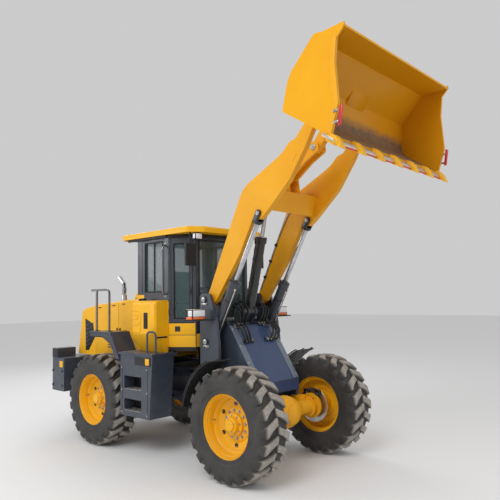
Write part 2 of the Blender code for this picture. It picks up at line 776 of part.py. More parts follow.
def build_cylinders():
    lift_half = TOWER_CLEAR / 2 - PIN_GAP
    for word, side in sides():
        y = side * ARM_Y
        body, *ends = cylinder_barrel(
            f"lift_barrel_{word}", LIFT_BASE, LIFT_EYE, y, LIFT_BARREL_RADIUS, LIFT_BARREL_LENGTH,
            lift_half, GREY)
        bore = rod(
            f"lift_bore_{word}", at_y(along(LIFT_BASE, LIFT_EYE, 0.068), y),
            at_y(along(LIFT_BASE, LIFT_EYE, 1.0), y), LIFT_ROD_RADIUS + PIN_GAP, sides=20)
        fuse(body, *ends)
        cut(body, bore)
        build_lift_rod(word, side)
    body, *ends = cylinder_barrel(
        "tilt_barrel", TILT_BASE, TILT_EYE, 0, TILT_BARREL_RADIUS, TILT_BARREL_LENGTH, 0.05, BLACK)
    bore = rod(
        "tilt_bore", at_y(along(TILT_BASE, TILT_EYE, 0.10), 0), at_y(along(TILT_BASE, TILT_EYE, 1.2), 0),
        TILT_ROD_RADIUS + PIN_GAP, sides=20)
    fuse(body, *ends)
    cut(body, bore)
    shaft = rod(
        "tilt_rod", at_y(along(TILT_BASE, TILT_EYE, 0.14), 0), at_y(along(TILT_EYE, TILT_BASE, 0.02), 0),
        TILT_ROD_RADIUS, CHROME, sides=20)
    fuse(shaft, rod("tilt_rod_eye", at_y(TILT_EYE, -LINK_HALF), at_y(TILT_EYE, LINK_HALF), 0.055, sides=20))


def build_lift_rod(word, side):
    y = side * ARM_Y
    shaft = rod(
        f"lift_rod_{word}", at_y(along(LIFT_EYE, LIFT_BASE, LIFT_ROD_LENGTH), y),
        at_y(along(LIFT_EYE, LIFT_BASE, 0.09), y), LIFT_ROD_RADIUS, CHROME, sides=20)
    half = ARM_THICKNESS / 2 + PIN_GAP
    head = rod(
        f"lift_fork_{word}", at_y(along(LIFT_EYE, LIFT_BASE, 0.125), y),
        at_y(along(LIFT_EYE, LIFT_BASE, 0.086), y), 0.047, sides=20)
    parts = [head]
    neck = along(LIFT_EYE, LIFT_BASE, 0.10)
    for label, away in (("in", -1), ("out", 1)):
        hull = boss_hull([(*LIFT_EYE, 0.04), (*neck, 0.03)])
        parts.append(side_plate(
            f"lift_fork_{label}_{word}", hull, y + away * half, y + away * (half + 0.022)))
    parts.append(side_plate(
        f"lift_fork_root_{word}",
        boss_hull(
            [(*along(LIFT_EYE, LIFT_BASE, 0.104), 0.017), (*along(LIFT_EYE, LIFT_BASE, 0.108), 0.017)]),
        y - half - 0.01, y + half + 0.01))
    fuse(shaft, *parts)


# ---- rear frame ---------------------------------------------------------------------
RAIL_BASE_Z = 0.74
RAIL_TOP_Z = 1.06
RAIL_OUTER = 0.40
RAIL_FRONT_X = -1.76
RAIL_REAR_X = -3.44
FORK_Z = (
    (0.60, LUG_Z[0][0] - PIN_GAP), (LUG_Z[0][1] + PIN_GAP, 0.72), (0.915, LUG_Z[1][0] - PIN_GAP),
    (LUG_Z[1][1] + PIN_GAP, 1.035))


def build_rear_frame():
    frame = box(
        "rear_frame", (RAIL_FRONT_X - 0.04, -RAIL_OUTER, 0.60), (RAIL_FRONT_X, RAIL_OUTER, RAIL_TOP_Z),
        GREY)
    parts = []
    for word, side in sides():
        parts.append(box(
            f"rail_{word}", (RAIL_REAR_X, side * (RAIL_OUTER - 0.05), RAIL_BASE_Z),
            (RAIL_FRONT_X - 0.01, side * RAIL_OUTER, RAIL_TOP_Z)))
    for number, x in enumerate((RAIL_REAR_X, -2.95, -2.16)):
        parts.append(box(
            f"cross_{number}", (x, -RAIL_OUTER + 0.01, 0.80), (x + 0.05, RAIL_OUTER - 0.01, 1.0)))
    for number, (low, high) in enumerate(FORK_Z):
        hull = boss_hull(
            [(PIVOT_X, 0, LUG_RADIUS), (RAIL_FRONT_X, 0.30, 0.01), (RAIL_FRONT_X, -0.30, 0.01)], 8)
        parts.append(floor_plate(f"fork_{number}", hull, low, high))
    for number, (low, high) in enumerate(((FORK_Z[0][0], FORK_Z[1][1]), (FORK_Z[2][0], FORK_Z[3][1]))):
        parts.append(box(
            f"fork_web_{number}", (RAIL_FRONT_X - 0.01, -0.26, low), (PIVOT_X - 0.20, 0.26, high)))
    for word, side in sides():
        parts.append(box(
            f"cab_foot_{word}", (-1.80, side * 0.28, RAIL_TOP_Z - 0.01),
            (-1.70, side * RAIL_OUTER, CAB_FLOOR_Z - GAP)))
    for number, z in enumerate((FORK_Z[0][0] - 0.03, FORK_Z[3][1] - 0.005)):
        parts.append(rod(f"hitch_pin_{number}", (PIVOT_X, 0, z), (PIVOT_X, 0, z + 0.035), 0.05, sides=16))
    fuse(frame, *parts)


def build_counterweight():
    plan = rounded([
        (WEIGHT_REAR_X, -0.62, 0.05), (WEIGHT_REAR_X + 0.10, -WEIGHT_HALF, 0.10), (-3.43, -WEIGHT_HALF),
        (-3.43, -0.56),
        (RAIL_REAR_X - GAP, -0.56), (RAIL_REAR_X - GAP, 0.56), (-3.43, 0.56), (-3.43, WEIGHT_HALF),
        (WEIGHT_REAR_X + 0.10, WEIGHT_HALF, 0.10), (WEIGHT_REAR_X, 0.62, 0.05),
    ], 4)
    weight = floor_plate("counterweight", plan, WEIGHT_BASE_Z, WEIGHT_TOP_Z, GREY)
    guards = []
    for word, side in sides():
        guards.append(box(
            f"lamp_guard_{word}", (-3.86, side * 0.56, WEIGHT_TOP_Z - 0.01),
            (-3.70, side * 0.86, WEIGHT_TOP_Z + 0.13)))
    fuse(weight, *guards)


def build_engine():
    obj = box("engine_block", (-3.25, -0.26, 1.02), (-2.30, 0.26, 1.66), STEEL)
    feet = [box("oil_pan", (-2.87, -0.20, 0.82), (-2.32, 0.20, 1.10))]
    for word, side in sides():
        feet.append(box(
            f"engine_foot_{word}", (-2.85, side * 0.24, RAIL_TOP_Z + GAP),
            (-2.65, side * 0.385, RAIL_TOP_Z + 0.04)))
    return fuse(obj, *feet)


HOOD_SIDE = (
    (HOOD_REAR_X, HOOD_BASE_Z), (-3.60, 1.80, 0.10), (-3.20, 1.865, 0.3), (HOOD_FRONT_X, 1.965),
    (HOOD_FRONT_X, HOOD_BASE_Z),
)


def build_hood():
    outline = rounded(HOOD_SIDE[::-1], 4)
    hood = side_plate("engine_hood", outline, -HOOD_HALF, HOOD_HALF, YELLOW)
    round_edges(hood, 0.04, on_hood_edge)
    wall = HOOD_WALL
    inner = [
        (HOOD_REAR_X + wall + 0.015, HOOD_BASE_Z - 0.1), (-3.60 + wall + 0.015, 1.80 - wall, 0.10),
        (-3.20, 1.865 - wall - 0.003, 0.3),
        (HOOD_FRONT_X - wall, 1.965 - wall - 0.004), (HOOD_FRONT_X - wall, HOOD_BASE_Z - 0.1),
    ]
    hollow = side_plate("hood_hollow", rounded(inner[::-1], 4), -(HOOD_HALF - 0.03), HOOD_HALF - 0.03)
    tyre_arch = []
    cut(hood, hollow, *tyre_arch)
    rim = []
    for word, side in sides():
        rim.append(box(
            f"hood_foot_{word}", (-3.00, side * (RAIL_OUTER - 0.03), RAIL_TOP_Z + GAP),
            (-2.90, side * (HOOD_HALF - 0.02), RAIL_TOP_Z + 0.10)))
    fuse(hood, *rim)


def on_hood_edge(a, b):
    """True for the hood's long upper edges and its rear edges."""
    return abs(
        a.y - b.y) < 0.001 and max(a.z, b.z) > HOOD_BASE_Z + 0.01 and min(a.x,
        b.x) < HOOD_FRONT_X - 0.01


def build_exhaust():
    x, y = -2.78, -0.30
    path = bent([(x, y, 1.95), (x, y, 2.16), (x - 0.10, y - 0.02, 2.27)], 0.07, 4)
    tube("exhaust_stack", path, 0.032, CHROME, 2)
    pipe = bpy.data.objects["exhaust_stack"]
    low, high = path[0], (x, y, 2.0)
    stub = rod("exhaust_foot", (low[0], low[1], 1.9028), high, 0.04, sides=16)
    return fuse(pipe, stub)


def build_rear_fenders():
    for word, side in sides():
        path = [(-2.65, FENDER_TOP_Z - 0.012), (-2.14, FENDER_TOP_Z - 0.012), (-1.93, 1.17)]
        guard = side_plate(f"rear_fender_{word}", strip(path, 0.012), side * 0.66, side * 0.95, GREY)
        side_skin = [
            (-2.64, 1.45), (-2.64, 1.504), (-2.137, 1.504), (-1.927, 1.176), (-2.02, 1.172),
            (-2.18, 1.38), (-2.34, 1.45)]
        skirt = side_plate(f"fender_skirt_{word}", side_skin, side * 0.925, side * 0.945)
        stay = box(
            f"rear_fender_stay_{word}", (-2.45, side * (HOOD_HALF + GAP), 1.44),
            (-2.39, side * 0.70, 1.504))
        fuse(guard, skirt, stay)


def build_steps():
    for word, side in sides():
        outline = [(-1.905, 0.49), (-1.30, 0.49), (-1.235, DECK_Z - 0.001), (-1.905, DECK_Z - 0.001)]
        body = side_plate(f"step_{word}", outline, side * STEP_INNER_Y, side * STEP_OUTER_Y, GREY)
        notches = []
        for number, (low, high) in enumerate(((0.56, 0.70), (0.82, 0.98))):
            notches.append(box(
                f"step_notch_{number}_{word}", (-1.82, side * (STEP_OUTER_Y - 0.16), low),
                (-1.46, side * (STEP_OUTER_Y + 0.05), high)))
        cut(body, *notches)
        deck = box(
            f"step_deck_{word}", (-1.945, side * 0.56, DECK_Z - 0.01),
            (-1.23, side * (STEP_OUTER_Y + 0.01), DECK_Z + DECK_THICKNESS - 0.01))
        y = side * 0.89
        hoop = tube(f"step_hoop_{word}", bent([
            (-1.42, y, DECK_Z), (-1.42, y, 1.53), (-1.25, y, 1.53), (-1.25, y, DECK_Z)], 0.05), 0.013)
        arm = box(
            f"step_arm_{word}", (-1.84, side * (RAIL_OUTER + GAP), 0.86),
            (-1.72, side * (STEP_INNER_Y + 0.02), 0.98))
        fuse(body, deck, hoop, arm)


def build_side_tanks():
    for word, side in sides():
        inner, outer, foot = side * (CAB_HALF + GAP), side * 0.85, DECK_Z + DECK_THICKNESS - 0.01 + GAP
        outline = rounded(
            [(inner, foot), (side * 0.70, foot), (outer, 1.50, 0.05), (outer, 1.915, 0.05), (inner, 1.915)], 3)
        tank = cross_plate(f"side_tank_{word}", outline, -1.80, -1.31, YELLOW)
        round_edges(tank, 0.02, lambda a, b: abs(a.x - b.x) < 0.001 and min(abs(a.y), abs(b.y)) > 0.70)


# ---- cab ----------------------------------------------------------------------------
def cab_plan(inset=0.0):
    slope = inset * 0.75
    half, front_half = CAB_HALF - inset, CAB_FRONT_HALF - slope
    return [
        (CAB_REAR_X + inset, -half), (CAB_DOOR_X, -half), (CAB_FRONT_X - inset, -front_half),
        (CAB_FRONT_X - inset, front_half), (CAB_DOOR_X, half), (CAB_REAR_X + inset, half),
    ]


def door_frame(side):
    """Unit vectors along and out of the oblique door on one side, and the hinge point."""
    hinge = Vector((CAB_DOOR_X, side * CAB_HALF))
    end = Vector((CAB_FRONT_X, side * CAB_FRONT_HALF))
    way = (end - hinge).normalized()
    out = Vector((way.y, -way.x)) * (1 if side < 0 else -1)
    return hinge, way, out, (end - hinge).length


def slab(name, side, start, end, low, high, z_low, z_high, kind=None):
    """A block along the oblique door plane: start to end along it, low to high out of it."""
    hinge, way, out, _ = door_frame(side)
    corners = [hinge + way * start + out * low, hinge + way * end + out * low,
               hinge + way * end + out * high, hinge + way * start + out * high]
    if side > 0:
        corners.reverse()
    return floor_plate(name, [tuple(corner) for corner in corners], z_low, z_high, kind)


def build_cab_shell():
    shell = floor_plate("cab_shell", cab_plan(), CAB_FLOOR_Z, CAB_TOP_Z, GREY)
    room = floor_plate("cab_room", cab_plan(CAB_WALL), CAB_FLOOR_Z + 0.04, CAB_TOP_Z - 0.05)
    cuts = [room]
    for word, side in sides():
        length = door_frame(side)[3]
        cuts.append(slab(
            f"door_opening_{word}", side, 0.03, length - 0.04, -0.12, 0.06, CAB_SILL_Z,
            CAB_TOP_Z - 0.06))
        cuts.append(box(
            f"side_window_opening_{word}", (-1.78, side * (CAB_HALF - 0.12), 2.03),
            (-1.42, side * (CAB_HALF + 0.05), 2.66)))
    cuts.append(box(
        "windscreen_opening", (CAB_FRONT_X - 0.12, -CAB_FRONT_HALF + 0.06, 1.52),
        (CAB_FRONT_X + 0.05, CAB_FRONT_HALF - 0.06, 2.66)))
    cuts.append(box(
        "rear_window_opening", (CAB_REAR_X - 0.05, -0.52, 2.03), (CAB_REAR_X + 0.12, 0.52, 2.66)))
    cut(shell, *cuts)


def build_cab_glass():
    set_in = 0.018
    box("windscreen", (CAB_FRONT_X - set_in - GLASS, -CAB_FRONT_HALF + 0.06 + GAP, 1.52 + GAP),
        (CAB_FRONT_X - set_in, CAB_FRONT_HALF - 0.06 - GAP, 2.66 - GAP), GLAZING)
    box(
        "rear_window", (CAB_REAR_X + set_in, -0.52 + GAP, 2.03 + GAP),
        (CAB_REAR_X + set_in + GLASS, 0.52 - GAP, 2.66 - GAP), GLAZING)
    for word, side in sides():
        box(f"side_window_{word}", (-1.78 + GAP, side * (CAB_HALF - set_in - GLASS), 2.03 + GAP),
            (-1.42 - GAP, side * (CAB_HALF - set_in), 2.66 - GAP), GLAZING)


def build_doors():
    for word, side in sides():
        length = door_frame(side)[3]
        start, end = 0.03 + 0.006, length - 0.04 - 0.006
        low, high = CAB_SILL_Z + 0.006, CAB_TOP_Z - 0.06 - 0.006
        door = slab(f"cab_door_{word}", side, start, end, -0.03, 0.006, low, high, BLACK)
        window = slab(
            f"door_window_opening_{word}", side, start + 0.035, end - 0.035, -0.06, 0.03, low + 0.045,
            high - 0.045)
        cut(door, window)
        knuckles = []
        for number, z in enumerate((low + 0.10, high - 0.16)):
            pin = door_pin(side)
            knuckles.append(rod(
                f"door_knuckle_{number}_{word}", (pin.x, pin.y, z), (pin.x, pin.y, z + 0.07),
                DOOR_PIN_OUT - 0.0006, sides=12))
            knuckles.append(slab(
                f"door_strap_{number}_{word}", side, DOOR_PIN_ALONG, start + 0.03, 0.003, 0.012,
                z + 0.005, z + 0.065))
        fuse(door, *knuckles)
        slab(f"door_glass_{word}", side, start + 0.035 + GAP, end - 0.035 - GAP, -0.018, -0.012,
             low + 0.045 + GAP, high - 0.045 - GAP, GLAZING)


def door_pin(side):
    """Where the door's hinge axis stands, in X and Y."""
    hinge, way, out, _ = door_frame(side)
    return hinge + way * DOOR_PIN_ALONG + out * DOOR_PIN_OUT


def build_roof():
    plan = rounded([
        (ROOF_REAR_X, -ROOF_HALF, 0.05), (ROOF_FRONT_X - 0.12, -ROOF_HALF, 0.06),
        (ROOF_FRONT_X, -0.50, 0.10),
        (ROOF_FRONT_X, 0.50, 0.10), (ROOF_FRONT_X - 0.12, ROOF_HALF, 0.06), (ROOF_REAR_X, ROOF_HALF, 0.05),
    ], 3)
    low = CAB_TOP_Z + GAP
    roof = floor_plate("cab_roof", plan, low, low + ROOF_THICKNESS, YELLOW)
    round_edges(roof, 0.025, lambda a, b: min(a.z, b.z) > low + ROOF_THICKNESS / 2)


def build_cab_inside():
    floor_z = CAB_FLOOR_Z + 0.04 + GAP
    seat = box("operator_seat", (-1.80, -0.24, 1.72), (-1.34, 0.24, 1.84), FABRIC)
    back = box("seat_back", (-1.84, -0.23, 1.80), (-1.73, 0.23, 2.36))
    post = box("seat_post", (-1.70, -0.17, floor_z), (-1.44, 0.17, 1.73))
    fuse(seat, back, post)
    column = tube(
        "steering_column", [(-1.10, 0, floor_z + 0.03), (-1.20, 0, 1.95), (-1.235, 0, 2.06)], 0.04,
        BLACK, 2)
    ring = steering_ring()
    hub = rod("steering_hub", (-1.215, 0, 2.0), (-1.245, 0, 2.09), 0.05, sides=12)
    spokes = [box("steering_spokes", (-1.28, -0.17, 2.05), (-1.20, 0.17, 2.065))]
    dash = box("dash", (-1.16, -0.26, 1.50), (-1.06, 0.26, 1.98))
    foot = box("dash_foot", (-1.14, -0.10, floor_z), (-1.07, 0.10, 1.55))
    fuse(column, hub, ring, *spokes, dash, foot)


def steering_ring():
    bpy.ops.mesh.primitive_torus_add(
        major_segments=24, minor_segments=8, major_radius=0.18, minor_radius=0.014,
            location=(-1.24, 0, 2.0575))
    made = bpy.context.object
    mesh = made.data.copy()
    mesh.transform(Matrix.Translation((-1.24, 0, 2.0575)))
    bpy.data.objects.remove(made, do_unlink=True)
    return keep(mesh, "steering_ring")


def build_mirrors_and_rails():
    for word, side in sides():
        x, y = -0.91, side * 0.62
        arm = rod(f"mirror_{word}", (x, y, 2.55), (x, y, CAB_TOP_Z), 0.011, BLACK)
        head = box(f"mirror_head_{word}", (x - 0.015, side * 0.54, 2.33), (x + 0.015, side * 0.70, 2.60))
        fuse(arm, head)
        build_handrail(word, side)


def build_handrail(word, side):
    y, top_z, foot_z = side * 0.87, 2.07, FENDER_TOP_Z + GAP
    front_x, rear_x = -2.29, -2.60
    rail = tube(
        f"handrail_{word}",
        bent([(rear_x - 0.13, y, top_z), (front_x, y, top_z), (front_x, y, foot_z)], 0.06), 0.017,
        STEEL)
    post = rod(f"rail_post_{word}", (rear_x, y, top_z), (rear_x, y, foot_z), 0.0165)
    feet = [
        box(
            f"rail_foot_{x:.2f}_{word}", (x - 0.035, y - 0.035, foot_z),
            (x + 0.035, y + 0.035, foot_z + 0.008))
        for x in (front_x, rear_x)
    ]
    fuse(rail, post, *feet)


def main():
    build_wheels()
    build_axles()
    build_front_frame()
    build_front_cover()
    build_front_fenders()
    build_front_lamps()
    build_boom()
    build_rocker()
    build_link()
    build_bucket()
    build_bucket_teeth()
    build_cylinders()
    build_rear_frame()
    build_counterweight()
    build_engine()
    build_hood()
    build_exhaust()
    build_rear_fenders()
    build_steps()
    build_side_tanks()
    build_cab_shell()
    build_cab_glass()
    build_doors()
    build_roof()
    build_cab_inside()
    build_mirrors_and_rails()


clear_scene()
make_collections()
FRAME = make_frame_empty()
bpy.context.view_layer.update()
main()
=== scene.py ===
import math

import bmesh
import bpy
from mathutils import Matrix, Vector


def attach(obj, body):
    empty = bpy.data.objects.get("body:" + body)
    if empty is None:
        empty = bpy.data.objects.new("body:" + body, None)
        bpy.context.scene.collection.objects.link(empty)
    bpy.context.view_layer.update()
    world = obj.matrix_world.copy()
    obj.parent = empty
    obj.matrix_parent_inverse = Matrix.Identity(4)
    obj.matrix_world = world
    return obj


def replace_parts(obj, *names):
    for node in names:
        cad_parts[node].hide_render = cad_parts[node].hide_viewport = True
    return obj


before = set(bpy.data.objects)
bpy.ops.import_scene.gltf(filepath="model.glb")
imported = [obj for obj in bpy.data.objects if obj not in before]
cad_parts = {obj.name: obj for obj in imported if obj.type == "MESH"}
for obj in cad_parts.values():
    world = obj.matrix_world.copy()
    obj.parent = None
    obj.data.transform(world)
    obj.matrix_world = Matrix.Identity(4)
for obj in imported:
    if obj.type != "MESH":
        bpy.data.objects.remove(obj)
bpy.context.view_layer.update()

for startObject in ("Cube", "Camera", "Light"):
    if startObject in bpy.data.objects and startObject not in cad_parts:
        bpy.data.objects.remove(bpy.data.objects[startObject])
frameX = 1.12  # lengths below run from the front axle, and the middle stands over the origin


def at(x, y, z):
    return Vector((x + frameX, y, z))


viewSettings = {"place": (5.3513, -5.0539, 1.9266), "turn": 43.07, "lift": 4.92, "roll": -1.048,
    "lens": 39.99}
lightSettings = {"key": 385, "fill": 72, "rim": 125, "top": 110, "sky": 0.6}


def placeCamera():
    bpy.ops.object.camera_add(location=viewSettings["place"])
    camera = bpy.context.active_object
    turn, lift, roll = (math.radians(viewSettings[word]) for word in ("turn", "lift", "roll"))
    ahead = Vector((-math.sin(turn) * math.cos(lift), math.cos(turn) * math.cos(lift), math.sin(lift)))
    right = Vector((math.cos(turn), math.sin(turn), 0))
    above = right.cross(ahead)
    across = right * math.cos(roll) + above * math.sin(roll)
    upward = above * math.cos(roll) - right * math.sin(roll)
    camera.matrix_world = Matrix((across, upward, -ahead)).transposed().to_4x4()
    camera.location = viewSettings["place"]
    camera.data.lens = viewSettings["lens"]
    camera.data.sensor_width = 36
    bpy.context.scene.camera = camera


def placeLight(name, place, target, size, power, tint=(1, 1, 1)):
    bpy.ops.object.light_add(type="AREA", location=place)
    lamp = bpy.context.active_object
    lamp.name = name
    lamp.rotation_euler = (Vector(target) - Vector(place)).to_track_quat("-Z", "Y").to_euler()
    lamp.data.shape = "DISK"
    lamp.data.size = size
    lamp.data.energy = power
    lamp.data.color = tint


def placeLightsAndFloor():
    placeLight("keyLight", (3.4, -7.5, 8.0), (0, 0, 1.4), 5.0, lightSettings["key"])
    placeLight("fillLight", (8.5, 2.5, 4.5), (0.6, 0, 1.6), 5.5, lightSettings["fill"], (0.96, 0.98, 1))
    placeLight("rimLight", (-7.5, 3.5, 6.5), (-0.5, 0, 1.5), 5.0, lightSettings["rim"])
    placeLight("sideLight", (-5.5, -6.0, 4.0), (-1.2, 0, 1.2), 4.5, lightSettings["top"])
    world = bpy.data.worlds.new("studioSky")
    bpy.context.scene.world = world
    world.use_nodes = True
    sky = world.node_tree.nodes["Background"]
    sky.inputs["Color"].default_value = (1, 1, 1, 1)
    sky.inputs["Strength"].default_value = lightSettings["sky"]
    bpy.ops.mesh.primitive_plane_add(size=90, location=(0, 0, -0.001))
    floor = bpy.context.active_object
    floor.name = "studioFloor"
    material = bpy.data.materials.new("studioFloorPaint")
    material.use_nodes = True
    shader = material.node_tree.nodes["Principled BSDF"]
    shader.inputs["Base Color"].default_value = (0.86, 0.86, 0.86, 1)
    shader.inputs["Roughness"].default_value = 0.8
    floor.data.materials.append(material)
    bpy.context.scene.view_settings.view_transform = "Standard"


def noiseNode(tree, vector, scale, detail=4.0, roughness=0.55):
    node = tree.nodes.new("ShaderNodeTexNoise")
    node.inputs["Scale"].default_value = scale
    node.inputs["Detail"].default_value = detail
    node.inputs["Roughness"].default_value = roughness
    tree.links.new(vector, node.inputs["Vector"])
    return node.outputs["Fac"]


def rangeNode(tree, value, low, high, toLow=0.0, toHigh=1.0):
    node = tree.nodes.new("ShaderNodeMapRange")
    node.inputs["From Min"].default_value = low
    node.inputs["From Max"].default_value = high
    node.inputs["To Min"].default_value = toLow
    node.inputs["To Max"].default_value = toHigh
    tree.links.new(value, node.inputs["Value"])
    return node.outputs["Result"]


def timesNode(tree, first, second, kind="MULTIPLY"):
    node = tree.nodes.new("ShaderNodeMath")
    node.operation = kind
    for socket, value in zip(node.inputs, (first, second)):
        if isinstance(value, (int, float)):
            socket.default_value = value
        else:
            tree.links.new(value, socket)
    return node.outputs["Value"]


def mixNode(tree, amount, first, second):
    node = tree.nodes.new("ShaderNodeMix")
    node.data_type = "RGBA"
    for socket, value in ((node.inputs[0], amount), (node.inputs[6], first), (node.inputs[7], second)):
        if isinstance(value, (int, float)):
            socket.default_value = value
        elif isinstance(value, (tuple, list)):
            socket.default_value = (*value[:3], 1)
        else:
            tree.links.new(value, socket)
    return node.outputs[2]


def bumpNode(tree, height, strength, distance, shader):
    node = tree.nodes.new("ShaderNodeBump")
    node.inputs["Strength"].default_value = strength
    node.inputs["Distance"].default_value = distance
    tree.links.new(height, node.inputs["Height"])
    tree.links.new(node.outputs["Normal"], shader.inputs["Normal"])


def newFinish(name):
    material = bpy.data.materials.new(name)
    material.use_nodes = True
    tree = material.node_tree
    return material, tree, tree.nodes["Principled BSDF"], tree.nodes.new("ShaderNodeTexCoord")


def paintFinish(name, colour, shade, dust, roughness=0.36, dusting=0.4, grain=0.05, coat=0.25):
    material, tree, shader, place = newFinish(name)
    where = place.outputs["Object"]
    cloudy = rangeNode(tree, noiseNode(tree, where, 1.7), 0.35, 0.7)
    colourNow = mixNode(tree, cloudy, colour, shade)
    split = tree.nodes.new("ShaderNodeSeparateXYZ")
    tree.links.new(where, split.inputs[0])
    low = rangeNode(tree, split.outputs["Z"], 0.25, 1.5, 1.0, 0.12)
    patch = rangeNode(tree, noiseNode(tree, where, 7.0, 6.0, 0.65), 0.42, 0.72)
    facing = tree.nodes.new("ShaderNodeSeparateXYZ")
    tree.links.new(place.outputs["Normal"], facing.inputs[0])
    upper = rangeNode(tree, facing.outputs["Z"], 0.55, 1.0, 0.55, 1.0)
    amount = timesNode(tree, timesNode(tree, timesNode(tree, low, patch), upper), dusting)
    dusted = mixNode(tree, amount, colourNow, dust)
    specks = rangeNode(tree, noiseNode(tree, where, 85.0, 3.0), 0.66, 0.78, 0.0, 0.22)
    tree.links.new(mixNode(tree, specks, dusted, dust), shader.inputs["Base Color"])
    rough = rangeNode(tree, noiseNode(tree, where, 11.0, 5.0), 0.3, 0.75, roughness - 0.07,
        roughness + 0.14)
    tree.links.new(timesNode(tree, rough, timesNode(tree, amount, 0.3), "ADD"),
        shader.inputs["Roughness"])
    shader.inputs["Specular IOR Level"].default_value = 0.3 if coat < 0.15 else 0.45
    shader.inputs["Coat Weight"].default_value = coat
    shader.inputs["Coat Roughness"].default_value = 0.18
    bumpNode(tree, noiseNode(tree, where, 240.0, 2.0), grain, 0.002, shader)
    return material


paintSettings = {  # colour, cloudier shade, dust, roughness, how dusty, grain, coat
    "yellowPaint": ((0.9, 0.47, 0.006), (0.83, 0.41, 0.005), (0.62, 0.46, 0.22), 0.4, 0.28, 0.04, 0.1),
    "armPaint": ((0.84, 0.395, 0.005), (0.77, 0.345, 0.004), (0.58, 0.42, 0.18), 0.46, 0.2, 0.05, 0.04),
    "greyPaint": ((0.044, 0.054, 0.078), (0.034, 0.043, 0.064), (0.26, 0.25, 0.23), 0.36, 0.38,
        0.05, 0.22),
    "paleGreyPaint": ((0.135, 0.165, 0.215), (0.115, 0.14, 0.19), (0.34, 0.33, 0.31), 0.34, 0.3,
        0.04, 0.35),
    "cabPaint": ((0.036, 0.042, 0.056), (0.028, 0.034, 0.046), (0.2, 0.2, 0.19), 0.34, 0.18, 0.04, 0.4),
    "bluePanelPaint": ((0.022, 0.05, 0.135), (0.018, 0.042, 0.115), (0.25, 0.25, 0.25), 0.33, 0.22,
        0.04, 0.35),
    "blackPlastic": ((0.016, 0.016, 0.018), (0.011, 0.011, 0.012), (0.17, 0.16, 0.14), 0.46, 0.45,
        0.12, 0.05),
    "blackEnamel": ((0.01, 0.01, 0.012), (0.014, 0.014, 0.016), (0.14, 0.13, 0.12), 0.28, 0.16,
        0.04, 0.4),
    "redPaint": ((0.62, 0.012, 0.022), (0.5, 0.01, 0.016), (0.45, 0.25, 0.2), 0.34, 0.22, 0.04, 0.3),
    "whiteLens": ((0.8, 0.82, 0.84), (0.7, 0.72, 0.75), (0.55, 0.53, 0.5), 0.14, 0.08, 0.02, 0.6),
    "orangeLens": ((0.86, 0.16, 0.01), (0.75, 0.12, 0.008), (0.55, 0.4, 0.3), 0.14, 0.08, 0.02, 0.6),
    "cabLining": ((0.06, 0.062, 0.066), (0.048, 0.05, 0.054), (0.16, 0.16, 0.16), 0.62, 0.1, 0.2, 0.0),
}


def metalFinish(name, colour, shade, roughness, stain, staining):
    material, tree, shader, place = newFinish(name)
    where = place.outputs["Object"]
    streak = rangeNode(tree, noiseNode(tree, where, 26.0, 5.0), 0.35, 0.7)
    base = mixNode(tree, streak, colour, shade)
    spots = rangeNode(tree, noiseNode(tree, where, 9.0, 7.0, 0.7), 0.5, 0.72, 0.0, staining)
    tree.links.new(mixNode(tree, spots, base, stain), shader.inputs["Base Color"])
    shader.inputs["Metallic"].default_value = 1.0
    tree.links.new(rangeNode(tree, spots, 0.0, 1.0, roughness, roughness + 0.35),
        shader.inputs["Roughness"])
    bumpNode(tree, noiseNode(tree, where, 320.0, 2.0), 0.05, 0.001, shader)
    return material


def wornSteelFinish(name):
    material, tree, shader, place = newFinish(name)
    where = place.outputs["Object"]
    rust = rangeNode(tree, noiseNode(tree, where, 5.0, 8.0, 0.7), 0.38, 0.66)
    base = mixNode(tree, rust, (0.2, 0.145, 0.115), (0.34, 0.19, 0.075))
    speck = rangeNode(tree, noiseNode(tree, where, 48.0, 4.0, 0.7), 0.55, 0.7, 0.0, 0.55)
    tree.links.new(mixNode(tree, speck, base, (0.42, 0.27, 0.11)), shader.inputs["Base Color"])
    shader.inputs["Metallic"].default_value = 0.25
    tree.links.new(rangeNode(tree, rust, 0.0, 1.0, 0.42, 0.75), shader.inputs["Roughness"])
    bumpNode(tree, noiseNode(tree, where, 70.0, 5.0), 0.25, 0.003, shader)
    return material


def rubberFinish(name):
    material, tree, shader, place = newFinish(name)
    where = place.outputs["Object"]
    # the lug tops are painted lighter grey: partly dust, partly a painted highlight that stands in for
    # light the lugs lack
    lugTopMask = tree.nodes.new("ShaderNodeAttribute")
    lugTopMask.attribute_name = "lugTopDustAndHighlight"
    patch = rangeNode(tree, noiseNode(tree, where, 10.0, 6.0, 0.65), 0.25, 0.62, 0.55, 1.0)
    black = mixNode(tree, rangeNode(tree, noiseNode(tree, where, 6.0), 0.4, 0.7),
        (0.02, 0.02, 0.021), (0.034, 0.032, 0.031))
    # lighter grey for the lug tops: dust colour brightened as a painted highlight
    dustAndHighlight = mixNode(tree, rangeNode(tree, noiseNode(tree, where, 34.0, 5.0), 0.4, 0.7),
        (0.42, 0.385, 0.34), (0.29, 0.265, 0.235))
    amount = timesNode(tree, lugTopMask.outputs["Fac"], patch)
    film = rangeNode(tree, noiseNode(tree, where, 3.0, 5.0), 0.35, 0.75, 0.05, 0.3)
    dulled = mixNode(tree, film, black, (0.115, 0.105, 0.095))
    tree.links.new(mixNode(tree, amount, dulled, dustAndHighlight), shader.inputs["Base Color"])
    tree.links.new(rangeNode(tree, amount, 0.0, 1.0, 0.58, 0.88), shader.inputs["Roughness"])
    bumpNode(tree, noiseNode(tree, where, 150.0, 4.0), 0.22, 0.002, shader)
    return material


